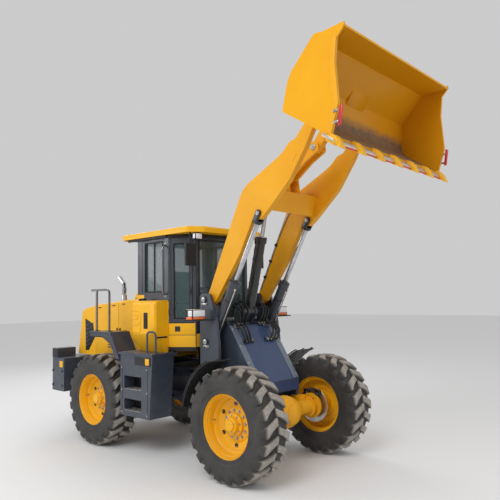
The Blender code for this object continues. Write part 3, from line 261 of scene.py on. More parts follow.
def glassFinish(name, colour, see, roughness=0.03):
    material, tree, shader, place = newFinish(name)
    smear = rangeNode(tree, noiseNode(tree, place.outputs["Object"], 5.0, 5.0), 0.35, 0.75,
        roughness, roughness + 0.12)
    tree.links.new(smear, shader.inputs["Roughness"])
    film = rangeNode(tree, noiseNode(tree, place.outputs["Object"], 3.0), 0.3, 0.7)
    tree.links.new(mixNode(tree, film, colour, tuple(value * 0.8 for value in colour)),
        shader.inputs["Base Color"])
    shader.inputs["Alpha"].default_value = see
    shader.inputs["Coat Weight"].default_value = 0.5
    shader.inputs["Coat Roughness"].default_value = 0.02
    return material


def bucketFinish(name):
    # yellow all over, with a worn steel floor on the inner side
    material, tree, shader, place = newFinish(name)
    where = place.outputs["Object"]
    cloudy = rangeNode(tree, noiseNode(tree, where, 1.7), 0.35, 0.7)
    paint = mixNode(tree, cloudy, (0.84, 0.395, 0.005), (0.77, 0.345, 0.004))
    inward = tree.nodes.new("ShaderNodeVectorMath")
    inward.operation = "SUBTRACT"
    inward.inputs[0].default_value = bucketSettings["hollow"]
    tree.links.new(where, inward.inputs[1])
    facing = tree.nodes.new("ShaderNodeVectorMath")
    facing.operation = "DOT_PRODUCT"
    tree.links.new(inward.outputs["Vector"], facing.inputs[0])
    tree.links.new(place.outputs["Normal"], facing.inputs[1])
    inside = rangeNode(tree, facing.outputs["Value"], 0.05, 0.12)
    ramp = tree.nodes.new("ShaderNodeVectorMath")
    ramp.operation = "DOT_PRODUCT"
    tree.links.new(where, ramp.inputs[0])
    ramp.inputs[1].default_value = bucketSettings["wearAlong"]
    edge = timesNode(tree, noiseNode(tree, where, 6.0, 7.0, 0.7), 0.16)
    depth = timesNode(tree, ramp.outputs["Value"], edge, "ADD")
    upright = tree.nodes.new("ShaderNodeSeparateXYZ")
    tree.links.new(place.outputs["Normal"], upright.inputs[0])
    cheek = rangeNode(tree, timesNode(tree, upright.outputs["Y"], upright.outputs["Y"]), 0.2, 0.5,
        1.0, 0.0)
    worn = timesNode(tree, rangeNode(tree, depth, bucketSettings["wearFrom"],
        bucketSettings["wearTo"]), cheek)
    rust = rangeNode(tree, noiseNode(tree, where, 22.0, 6.0, 0.7), 0.4, 0.62)
    steel = mixNode(tree, rust, (0.15, 0.11, 0.095), (0.3, 0.165, 0.055))
    inner = mixNode(tree, 0.55, paint, (0.6, 0.235, 0.004))
    scraped = mixNode(tree, worn, inner, steel)
    tree.links.new(mixNode(tree, inside, paint, scraped), shader.inputs["Base Color"])
    bare = timesNode(tree, inside, worn)
    tree.links.new(rangeNode(tree, bare, 0.0, 1.0, 0.34, 0.62), shader.inputs["Roughness"])
    shader.inputs["Specular IOR Level"].default_value = 0.28
    shader.inputs["Coat Weight"].default_value = 0.03
    bumpNode(tree, noiseNode(tree, where, 120.0, 4.0), 0.08, 0.002, shader)
    return material


bucketSettings = {
    "hollow": (1.4 + frameX, 0.0, 3.92), "wearAlong": (-0.45, 0.0, -0.89),
    "wearFrom": -4.32, "wearTo": -4.22,
}


def clothFinish(name, colour, shade):
    material, tree, shader, place = newFinish(name)
    where = place.outputs["Object"]
    wave = tree.nodes.new("ShaderNodeTexWave")
    wave.inputs["Scale"].default_value = 160.0
    wave.inputs["Distortion"].default_value = 1.5
    tree.links.new(where, wave.inputs["Vector"])
    weave = timesNode(tree, wave.outputs["Fac"], noiseNode(tree, where, 420.0, 2.0))
    tree.links.new(mixNode(tree, rangeNode(tree, weave, 0.1, 0.5), colour, shade),
        shader.inputs["Base Color"])
    shader.inputs["Roughness"].default_value = 0.82
    shader.inputs["Sheen Weight"].default_value = 0.3
    bumpNode(tree, weave, 0.3, 0.002, shader)
    return material


def makeFinishes():
    made = {name: paintFinish(name, *values) for name, values in paintSettings.items()}
    made["chromeRod"] = metalFinish("chromeRod", (0.62, 0.63, 0.65), (0.45, 0.46, 0.49), 0.1,
        (0.3, 0.29, 0.28), 0.35)
    made["zincSteel"] = metalFinish("zincSteel", (0.56, 0.55, 0.52), (0.42, 0.41, 0.4), 0.3,
        (0.25, 0.2, 0.15), 0.5)
    made["tubeSteel"] = metalFinish("tubeSteel", (0.3, 0.31, 0.33), (0.22, 0.23, 0.25), 0.3,
        (0.12, 0.11, 0.1), 0.4)
    made["wornSteel"] = wornSteelFinish("wornSteel")
    made["paleSteel"] = metalFinish("paleSteel", (0.74, 0.66, 0.56), (0.6, 0.5, 0.4), 0.38,
        (0.42, 0.26, 0.14), 0.5)
    made["tyreRubber"] = rubberFinish("tyreRubber")
    made["tintedGlass"] = glassFinish("tintedGlass", (0.1, 0.17, 0.18), 0.36)
    made["mirrorGlass"] = metalFinish("mirrorGlass", (0.74, 0.77, 0.8), (0.68, 0.71, 0.74), 0.06,
        (0.5, 0.5, 0.5), 0.15)
    made["bucketSteel"] = bucketFinish("bucketSteel")
    made["seatCloth"] = clothFinish("seatCloth", (0.03, 0.031, 0.034), (0.062, 0.064, 0.07))
    return made


def clearSelection():
    if bpy.context.mode != "OBJECT":
        bpy.ops.object.mode_set(mode="OBJECT")
    bpy.ops.object.select_all(action="DESELECT")


def select(*chosen):
    clearSelection()
    for piece in chosen:
        piece.select_set(True)
    bpy.context.view_layer.objects.active = chosen[0]
    return chosen[0]


def faceOutward():
    bpy.ops.object.mode_set(mode="EDIT")
    bpy.ops.mesh.select_all(action="SELECT")
    bpy.ops.mesh.normals_make_consistent(inside=False)
    bpy.ops.object.mode_set(mode="OBJECT")


def flipFaces():
    bpy.ops.object.mode_set(mode="EDIT")
    bpy.ops.mesh.select_all(action="SELECT")
    bpy.ops.mesh.flip_normals()
    bpy.ops.object.mode_set(mode="OBJECT")


def applyModifiers(piece):
    select(piece)
    for modifier in list(piece.modifiers):
        bpy.ops.object.modifier_apply(modifier=modifier.name)


def roundEdges(piece, width, segments=2, angle=40.0):
    if width > 0:
        bevel = piece.modifiers.new("roundedEdges", "BEVEL")
        bevel.width = width
        bevel.segments = segments
        bevel.limit_method = "ANGLE"
        bevel.angle_limit = math.radians(angle)
        bevel.harden_normals = False
        applyModifiers(piece)
    return piece


def smoothPiece(piece, angle=35.0):
    select(piece)
    bpy.ops.object.shade_smooth_by_angle(angle=math.radians(angle))
    return piece


def settle(piece):
    select(piece)
    bpy.ops.object.transform_apply(location=True, rotation=True, scale=True)
    return piece


def block(name, low, high, bevel=0.004, segments=2):
    low, high = Vector(low), Vector(high)
    low, high = (Vector(map(min, low, high)), Vector(map(max, low, high)))
    clearSelection()
    bpy.ops.mesh.primitive_cube_add(size=1, location=(low + high) / 2 + Vector((frameX, 0, 0)))
    piece = bpy.context.active_object
    piece.name = name
    piece.scale = high - low
    settle(piece)
    roundEdges(piece, bevel, segments)
    return smoothPiece(piece)


def plate(name, outline, depth, bevel=0.003, segments=2, angle=40.0):
    # a flat outline of points from the front axle, made as thick as depth
    clearSelection()
    bpy.ops.mesh.primitive_circle_add(vertices=len(outline), radius=1, fill_type="NGON")
    piece = bpy.context.active_object
    piece.name = name
    for vertex, point in zip(piece.data.vertices, outline):
        vertex.co = at(*point)
    bpy.ops.object.mode_set(mode="EDIT")
    bpy.ops.mesh.select_all(action="SELECT")
    bpy.ops.mesh.extrude_region_move(TRANSFORM_OT_translate={"value": Vector(depth)})
    bpy.ops.mesh.select_all(action="SELECT")
    bpy.ops.mesh.normals_make_consistent(inside=False)
    bpy.ops.object.mode_set(mode="OBJECT")
    roundEdges(piece, bevel, segments, angle)
    return smoothPiece(piece)


def sidePlate(name, outline, y, width, bevel=0.003, segments=2, angle=40.0):
    return plate(name, [(x, y, z) for x, z in outline], (0, width, 0), bevel, segments, angle)


def turnTo(axis):
    return Vector((0, 0, 1)).rotation_difference(Vector(axis)).to_matrix().to_4x4()


def turned(name, profile, centre, axis=(0, 1, 0), steps=48, angle=30.0):
    # a closed profile of (radius, along) pairs, spun round the axis
    clearSelection()
    bpy.ops.mesh.primitive_circle_add(vertices=len(profile), radius=1)
    piece = bpy.context.active_object
    piece.name = name
    for vertex, (radius, along) in zip(piece.data.vertices, profile):
        vertex.co = (radius, 0, along)
    bpy.ops.object.mode_set(mode="EDIT")
    bpy.ops.mesh.select_all(action="SELECT")
    bpy.ops.mesh.spin(steps=steps, angle=math.tau, center=(0, 0, 0), axis=(0, 0, 1), use_auto_merge=True)
    bpy.ops.mesh.select_all(action="SELECT")
    bpy.ops.mesh.remove_doubles(threshold=0.0002)
    bpy.ops.mesh.normals_make_consistent(inside=False)
    bpy.ops.object.mode_set(mode="OBJECT")
    piece.data.transform(Matrix.Translation(at(*centre)) @ turnTo(axis))
    return smoothPiece(piece, angle)


def rodBetween(name, first, second, radius, sides=24, bevel=0.002):
    first, second = Vector(first), Vector(second)
    clearSelection()
    bpy.ops.mesh.primitive_cylinder_add(vertices=sides, radius=radius, depth=(second - first).length)
    piece = bpy.context.active_object
    piece.name = name
    roundEdges(piece, bevel, 2, 60)
    piece.data.transform(Matrix.Translation(at(*((first + second) / 2))) @ turnTo(second - first))
    return smoothPiece(piece)


def filletPath(points, radius, steps=6):
    points = [Vector(point) for point in points]
    path = [points[0]]
    for before, here, after in zip(points, points[1:], points[2:]):
        back, ahead = before - here, after - here
        cut = min(radius, back.length * 0.48, ahead.length * 0.48)
        start, end = here + back.normalized() * cut, here + ahead.normalized() * cut
        for step in range(steps + 1):
            t = step / steps
            path.append(start.lerp(here, t).lerp(here.lerp(end, t), t))
    path.append(points[-1])
    return path


def pipe(name, points, radius, bend=0.05, sides=4, steps=6):
    path = filletPath(points, bend, steps) if bend else [Vector(point) for point in points]
    clearSelection()
    bpy.ops.curve.primitive_nurbs_path_add()
    piece = bpy.context.active_object
    piece.name = name
    curve = piece.data
    curve.splines.clear()
    spline = curve.splines.new("POLY")
    spline.points.add(len(path) - 1)
    for node, point in zip(spline.points, path):
        node.co = (*at(*point), 1)
    curve.bevel_depth = radius
    curve.bevel_resolution = sides
    curve.use_fill_caps = True
    select(piece)
    bpy.ops.object.convert(target="MESH")
    piece = bpy.context.active_object
    bpy.ops.object.mode_set(mode="EDIT")
    bpy.ops.mesh.select_all(action="SELECT")
    bpy.ops.mesh.remove_doubles(threshold=0.0001)
    bpy.ops.mesh.normals_make_consistent(inside=False)
    bpy.ops.object.mode_set(mode="OBJECT")
    piece.name = name
    return smoothPiece(piece, 50)


def joined(name, pieces):
    if len(pieces) > 1:
        select(*pieces)
        bpy.ops.object.join()
    piece = bpy.context.view_layer.objects.active if len(pieces) > 1 else pieces[0]
    piece.name = name
    return piece


def copied(piece, matrix):
    select(piece)
    bpy.ops.object.duplicate(linked=False)
    other = bpy.context.active_object
    other.data.transform(matrix)
    if matrix.determinant() < 0:
        flipFaces()
    return other


def finished(piece, finish, body="rear_frame"):
    if not piece.data.materials:
        piece.data.materials.append(finishes[finish])
    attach(piece, body)
    return piece


def grouped(name, pieces, finish, body="rear_frame"):
    return finished(joined(name, pieces), finish, body)


def painted(piece, finish):
    piece.data.materials.clear()
    piece.data.materials.append(finishes[finish])
    return piece


def bolt(name, place, axis, radius=0.011, height=0.009, washer=True):
    clearSelection()
    bpy.ops.mesh.primitive_cylinder_add(vertices=6, radius=radius, depth=height)
    head = bpy.context.active_object
    head.data.transform(Matrix.Translation((0, 0, height / 2 + 0.0015)))
    roundEdges(head, radius * 0.14, 2, 30)
    if washer:
        clearSelection()
        bpy.ops.mesh.primitive_cylinder_add(vertices=18, radius=radius * 1.45, depth=0.003)
        ring = bpy.context.active_object
        roundEdges(ring, 0.0008, 1, 30)
        head = joined(name, [head, ring])
    head.name = name
    head.data.transform(Matrix.Translation(at(*place)) @ turnTo(axis))
    return smoothPiece(head, 30)


def boltRow(name, places, axis, finish, body, radius=0.011, height=0.009):
    heads = [bolt(f"{name}Head{number}", place, axis, radius, height)
        for number, place in enumerate(places)]
    return grouped(name, heads, finish, body)


sides = (("left", 1), ("right", -1))


frameFinishes = {
    "boom": "armPaint", "rocker": "armPaint", "bucket_link": "armPaint", "bucket": "bucketSteel",
    "bucket_edge": "paleSteel", "cab_door": "cabPaint", "cab_roof": "yellowPaint",
    "cab_shell": "cabPaint",
    "counterweight": "greyPaint", "door_glass": "tintedGlass", "engine_block": "blackEnamel",
    "engine_hood": "yellowPaint", "exhaust_stack": "chromeRod", "front_axle": "armPaint",
    "front_cover": "bluePanelPaint", "front_fender": "blackPlastic", "front_frame": "greyPaint",
    "front_lamp": "blackPlastic", "handrail": "tubeSteel", "lift_barrel": "cabPaint",
    "lift_rod": "chromeRod",
    "mirror": "blackPlastic", "operator_seat": "seatCloth", "rear_axle": "armPaint",
    "rear_fender": "greyPaint", "rear_frame": "greyPaint", "rear_window": "tintedGlass",
    "side_tank": "yellowPaint", "side_window": "tintedGlass", "steering_column": "blackPlastic",
    "step": "greyPaint", "tilt_barrel": "blackEnamel", "tilt_rod": "chromeRod", "rim": "yellowPaint",
    "tyre": "tyreRubber", "windscreen": "tintedGlass",
}


def finishFrame():
    for name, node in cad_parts.items():
        word = max((key for key in frameFinishes if name.startswith(key)), key=len)
        node.data.materials.clear()
        node.data.materials.append(finishes[frameFinishes[word]])


tyreSettings = {"lugs": 21, "base": 0.562, "top": 0.598, "half": 0.1935, "middle": 0.785}
axleZ = 0.6
wheelCentres = {"front": 0.0, "rear": -2.57}


def carcass():
    half = tyreSettings["half"]
    inner = [(0.331, 0.165), (0.331, 0.1), (0.345, 0.06), (0.345, -0.06), (0.331, -0.1), (0.331, -0.165)]
    outer = [
        (0.34, -0.178), (0.362, -0.182), (0.374, -0.18), (0.388, -0.188), (0.425, half * -0.985),
        (0.462, -half),
        (0.5, half * -0.995), (0.528, -0.182), (0.546, -0.168), (0.556, -0.148), (0.56, -0.11),
        (0.562, -0.05),
    ]
    profile = inner + outer + [(radius, -along) for radius, along in outer[::-1]]
    return turned("tyreCarcass", profile, (-frameX, 0, 0), steps=72, angle=40)


def lug(turn):
    # one slanted block on the left half, wider at the shoulder and curled over the edge
    top, base = tyreSettings["top"], tyreSettings["base"]
    rows = [  # along the width, angle shift in degrees, half width in degrees, top radius, lower radius
        (0.006, 0.0, 4.3, top, base), (0.06, 2.4, 4.0, top, base),
        (0.115, 5.2, 4.6, top - 0.002, base - 0.003),
        (0.155, 8.6, 5.6, top - 0.006, base - 0.012), (0.184, 9.6, 5.5, 0.573, 0.535),
        (0.1925, 9.8, 4.6, 0.535, 0.515),
        (0.1945, 9.8, 3.2, 0.492, 0.485),
    ]
    clearSelection()
    bpy.ops.mesh.primitive_grid_add(x_subdivisions=len(rows) - 1, y_subdivisions=1, size=1)
    piece = bpy.context.active_object
    sheet = bmesh.new()
    upper, lower = [], []
    for along, shift, wide, high, low in rows:
        pair = []
        for radius, shrink in ((high, 0.86), (low - 0.012, 1.0)):
            for side in (-1, 1):
                angle = math.radians(turn + shift + side * wide * shrink)
                depth = along if radius == high else min(along, 0.186)
                pair.append(sheet.verts.new((radius * math.cos(angle), radius * math.sin(angle), depth)))
        upper.append(pair[:2])
        lower.append(pair[2:])
    for number in range(len(rows) - 1):
        a, b, c, d = upper[number][0], upper[number][1], upper[number + 1][1], upper[number + 1][0]
        e, f, g, h = lower[number][0], lower[number][1], lower[number + 1][1], lower[number + 1][0]
        for corners in ((a, b, c, d), (h, g, f, e), (a, d, h, e), (b, f, g, c)):
            sheet.faces.new(corners)
    sheet.faces.new((upper[0][0], lower[0][0], lower[0][1], upper[0][1]))
    sheet.faces.new((upper[-1][1], lower[-1][1], lower[-1][0], upper[-1][0]))
    sheet.to_mesh(piece.data)
    sheet.free()
    faceOutward()
    roundEdges(piece, 0.0045, 2, 28)
    return piece


def tyreMaster():
    carcassPiece = carcass()
    step = 360 / tyreSettings["lugs"]
    first = lug(0)
    second = lug(0)
    second.data.transform(Matrix.Rotation(math.radians(step / 2), 4,
        "Z") @ Matrix.Diagonal((1, 1, -1, 1)))
    select(second)
    flipFaces()
    pair = joined("lugPair", [first, second])
    lugs = [pair]
    for number in range(1, tyreSettings["lugs"]):
        lugs.append(copied(pair, Matrix.Rotation(math.radians(step * number), 4, "Z")))
    treads = joined("tyreTreads", lugs)
    treads.data.transform(turnTo((0, 1, 0)))
    rings = []
    for side in (-1, 1):
        profile = [(0.395, 0.0), (0.395, 0.0035), (0.4, 0.0055), (0.404, 0.0035), (0.404, 0.0)]
        rings.append(turned(
            "tyreRing", [(radius, side * (0.186 + along)) for radius, along in profile],
            (-frameX, 0, 0), steps=72))
    tyre = joined("tyreMaster", [carcassPiece, treads, *rings])
    # mask of the lug tops, which the tyre material paints lighter grey as dust and a painted highlight
    lugTopMask = tyre.data.attributes.new("lugTopDustAndHighlight", "FLOAT", "POINT")
    values = []
    for vertex in tyre.data.vertices:
        radius = math.hypot(vertex.co.x, vertex.co.z)
        values.append(min(1.0, max(0.0, (radius - 0.574) / 0.012)))
    lugTopMask.data.foreach_set("value", values)
    return smoothPiece(tyre, 32)


def rimMaster():
    # dished steel wheel: flange, bead seat, gutter, disc and hub
    outer = [
        (0.341, 0.15), (0.35, 0.158), (0.35, 0.166), (0.341, 0.171), (0.331, 0.168), (0.326, 0.156),
        (0.322, 0.138),
        (0.3, 0.128), (0.294, 0.112), (0.296, 0.06), (0.287, 0.05), (0.27, 0.046), (0.262, 0.03),
        (0.255, 0.012),
        (0.19, -0.004), (0.176, 0.004), (0.16, 0.012), (0.0, 0.012),
    ]
    inner = [
        (0.0, -0.01), (0.165, -0.01), (0.18, -0.024), (0.25, -0.012), (0.285, -0.04),
        (0.296, -0.128), (0.322, -0.138),
        (0.326, -0.156), (0.331, -0.168), (0.341, -0.171), (0.35, -0.166), (0.35, -0.158),
        (0.341, -0.15),
        (0.33, -0.145), (0.328, -0.1), (0.328, 0.1), (0.33, 0.145),
    ]
    wheel = turned("rimDish", outer + inner, (-frameX, 0, 0), steps=64, angle=28)
    painted(wheel, "yellowPaint")
    ring = turned(
        "lockRing", [(0.322, 0.139), (0.327, 0.143), (0.323, 0.149), (0.312, 0.15), (0.303, 0.138),
            (0.304, 0.13)],
        (-frameX, 0, 0), steps=64)
    painted(ring, "armPaint")
    hub = turned("hubCover", [
        (0.0, 0.12), (0.05, 0.12), (0.058, 0.114), (0.062, 0.1), (0.078, 0.098), (0.084, 0.09),
        (0.088, 0.05),
        (0.112, 0.046), (0.118, 0.04), (0.12, 0.01), (0.0, 0.01),
    ], (-frameX, 0, 0), steps=48, angle=28)
    painted(hub, "yellowPaint")
    nuts = []
    for count, radius, size, height in ((12, 0.146, 0.0125, 0.016), (8, 0.1, 0.008, 0.008),
        (4, 0.068, 0.006, 0.006)):
        level = {0.146: 0.012, 0.1: 0.047, 0.068: 0.099}[radius]
        for number in range(count):
            angle = math.tau * (number + 0.25) / count
            nuts.append(bolt(
                "wheelNut", (radius * math.cos(angle) - frameX, radius * math.sin(angle), level),
                (0, 0, 1), size, height))
    nutsPiece = joined("wheelNuts", nuts)
    nutsPiece.data.transform(turnTo((0, 1, 0)))
    painted(nutsPiece, "zincSteel")
    valve = rodBetween("valveStem", (0.272 - frameX, 0.045, 0.02), (0.268 - frameX, 0.1, 0.02),
        0.006, 10)
    painted(valve, "zincSteel")
    holes = []
    for number in range(6):
        angle = math.tau * (number + 0.5) / 6
        holes.append(turned(
            "handHole", [(0.0, 0.0), (0.024, 0.0), (0.024, 0.004), (0.019, 0.004), (0.019, 0.0015),
                (0.0, 0.0015)],
            (0.218 * math.cos(angle) - frameX, 0.0045, 0.218 * math.sin(angle)), (0, 1, 0), 20))
    hole = painted(joined("handHoles", holes), "blackEnamel")
    return joined("rimMaster", [wheel, ring, hub, nutsPiece, valve, hole])


def buildWheels():
    tyre, rim = tyreMaster(), rimMaster()
    for end, along in wheelCentres.items():
        for word, side in sides:
            place = Matrix.Translation(at(along, side * tyreSettings["middle"], axleZ))
            turn = Matrix.Identity(4) if side > 0 else Matrix.Rotation(math.pi, 4, "Z")
            tread = Matrix.Identity(4) if side > 0 else Matrix.Diagonal((1, -1, 1, 1))
            spin = Matrix.Rotation(math.radians(7 if end == "front" else 2), 4, "Y")
            one = copied(tyre, place @ tread @ spin)
            one.name = f"treadedTyre{end.title()}{word.title()}"
            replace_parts(finished(one, "tyreRubber", f"wheel_{end}_{word}"), f"tyre_{end}_{word}")
            two = copied(rim, place @ turn)
            two.name = f"dishedRim{end.title()}{word.title()}"
            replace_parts(finished(two, "yellowPaint", f"wheel_{end}_{word}"), f"rim_{end}_{word}")
    for master in (tyre, rim):
        bpy.data.objects.remove(master)
    print("wheels built")


def dressBucket():
    for word, side in sides:
        front = [(1.51, 3.32), (1.6, 3.6), (1.575, 3.98), (1.6, 4.2)]
        inset = [(1.545, 4.195), (1.52, 3.975), (1.545, 3.605), (1.462, 3.345)]
        strip = sidePlate(f"bucketSideStrip{word.title()}", front + inset, side * 1.0755,
            side * 0.012, 0.004)
        finished(strip, "armPaint", "bucket")
        marker = sidePlate(
            f"bucketMarker{word.title()}", [(1.585, 3.4), (1.612, 3.4), (1.64, 3.575), (1.612, 3.585)],
            side * 1.06, side * 0.024, 0.005)
        finished(marker, "redPaint", "bucket")
        clips = [
            block("clip", (1.545, side * 1.088, level), (1.6, side * 1.096, level + 0.022), 0.002)
            for level in (3.425, 3.525)]
        grouped(f"bucketMarkerClips{word.title()}", clips, "zincSteel", "bucket")
        boltRow(
            f"bucketMarkerBolts{word.title()}", [(1.562, side * 1.096, 3.436),
                (1.562, side * 1.096, 3.536)],
            (0, side, 0), "zincSteel", "bucket", 0.008, 0.006)
    rolled = pipe(
        "bucketTopRoll", [(1.665, -1.07, 4.29), (1.665, 1.07, 4.29)], 0.0135, bend=0)
    finished(rolled, "armPaint", "bucket")
    crease = pipe("bucketCreaseWeld", [(1.355, -1.05, 4.262), (1.355, 1.05, 4.262)], 0.006, bend=0)
    finished(crease, "armPaint", "bucket")
    corner = sidePlate("bucketCornerPlate", [(1.079, 3.9243), (1.1911, 4.09), (1.085, 3.985)],
        -0.16, 0.32, 0.001)
    finished(corner, "bucketSteel", "bucket")
    print("bucket dressed")


edgeSettings = {"teeth": 7, "half": 1.11, "toothHalf": 0.045, "way": (0.834, -0.552),
    "rise": (0.552, 0.834)}


def buildCuttingEdge():
    way, rise = Vector(edgeSettings["way"]), Vector(edgeSettings["rise"])
    root = Vector((1.44, 3.366))

    def spot(u, v):
        point = root - rise * 0.028 + way * u + rise * v
        return (point.x, point.y)

    lip = sidePlate("bucketLip", [spot(0, 0), spot(0.168, 0), spot(0.13, 0.0275), spot(0, 0.0275)],
        -1.109, 2.218, 0.002)
    finished(lip, "paleSteel", "bucket")
    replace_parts(lip, "bucket_edge")
    teeth, segments = [], []
    places = [
        (2 * number / (edgeSettings["teeth"] - 1) - 1) * (edgeSettings["half"] - 0.065)
        for number in range(edgeSettings["teeth"])]
    half = edgeSettings["toothHalf"]
    for y in places:
        holder = sidePlate(
            "toothHolder", [
                spot(0.045, -0.022), spot(0.15, -0.024), spot(0.185, -0.01), spot(0.176, 0.03),
                spot(0.12, 0.056),
                spot(0.075, 0.056), spot(0.062, 0.032), spot(0.045, 0.03)],
            y - half, half * 2, 0.005)
        tip = sidePlate(
            "toothTip", [spot(0.125, -0.016), spot(0.232, -0.018), spot(0.236, -0.012),
                spot(0.168, 0.04), spot(0.125, 0.05)],
            y - half * 0.72, half * 1.44, 0.004)
        for vertex in tip.data.vertices:
            reach = (Vector((vertex.co.x - frameX, vertex.co.z)) - root).dot(way)
            vertex.co.y = y + (vertex.co.y - y) * (1.0 + 0.35 * max(0.0, (reach - 0.16) / 0.07))
        teeth += [holder, tip]
    for first, second in zip(places, places[1:]):
        segments.append(sidePlate(
            "edgeSegment", [spot(0.06, -0.014), spot(0.186, -0.014), spot(0.172, -0.0005),
                spot(0.06, -0.0005)],
            first + half + 0.012, second - first - 2 * half - 0.024, 0.002))
    grouped("bucketTeeth", teeth, "yellowPaint", "bucket")
    grouped("bucketEdgeSegments", segments, "redPaint", "bucket")
    heads = []
    for first, second in zip(places, places[1:]):
        for share in (0.3, 0.7):
            x, z = spot(0.1, -0.014)
            heads.append((x, first + (second - first) * share, z))
    boltRow("edgeBolts", heads, (-rise.x, 0, -rise.y), "zincSteel", "bucket", 0.012, 0.007)
    print("cutting edge built")


hoodSettings = {"half": 0.52, "slats": 6, "grilleSlats": 10, "panelProud": 0.0045}


def ringPlate(name, low, high, width, y, depth, bevel=0.003):
    # an upright frame of four bars in a side face
    (lowX, lowZ), (highX, highZ) = low, high
    bars = [
        block("bar", (lowX, y, lowZ), (highX, y + depth, lowZ + width), bevel),
        block("bar", (lowX, y, highZ - width), (highX, y + depth, highZ), bevel),
        block("bar", (lowX, y, lowZ + width * 0.5), (lowX + width, y + depth, highZ - width * 0.5),
            bevel),
        block("bar", (highX - width, y, lowZ + width * 0.5),
            (highX, y + depth, highZ - width * 0.5), bevel),
    ]
    return joined(name, bars)


def crossRing(name, low, high, width, x, depth, bevel=0.003):
    (lowY, lowZ), (highY, highZ) = low, high
    bars = [
        block("bar", (x, lowY, lowZ), (x + depth, highY, lowZ + width), bevel),
        block("bar", (x, lowY, highZ - width), (x + depth, highY, highZ), bevel),
        block("bar", (x, lowY, lowZ + width * 0.5), (x + depth, lowY + width, highZ - width * 0.5),
            bevel),
        block("bar", (x, highY - width, lowZ + width * 0.5),
            (x + depth, highY, highZ - width * 0.5), bevel),
    ]
    return joined(name, bars)


def hoodTop(x):
    return 1.865 + (x + 3.2) / 1.238 * 0.1 if x > -3.2 else 1.8 + (x + 3.6) / 0.4 * 0.065


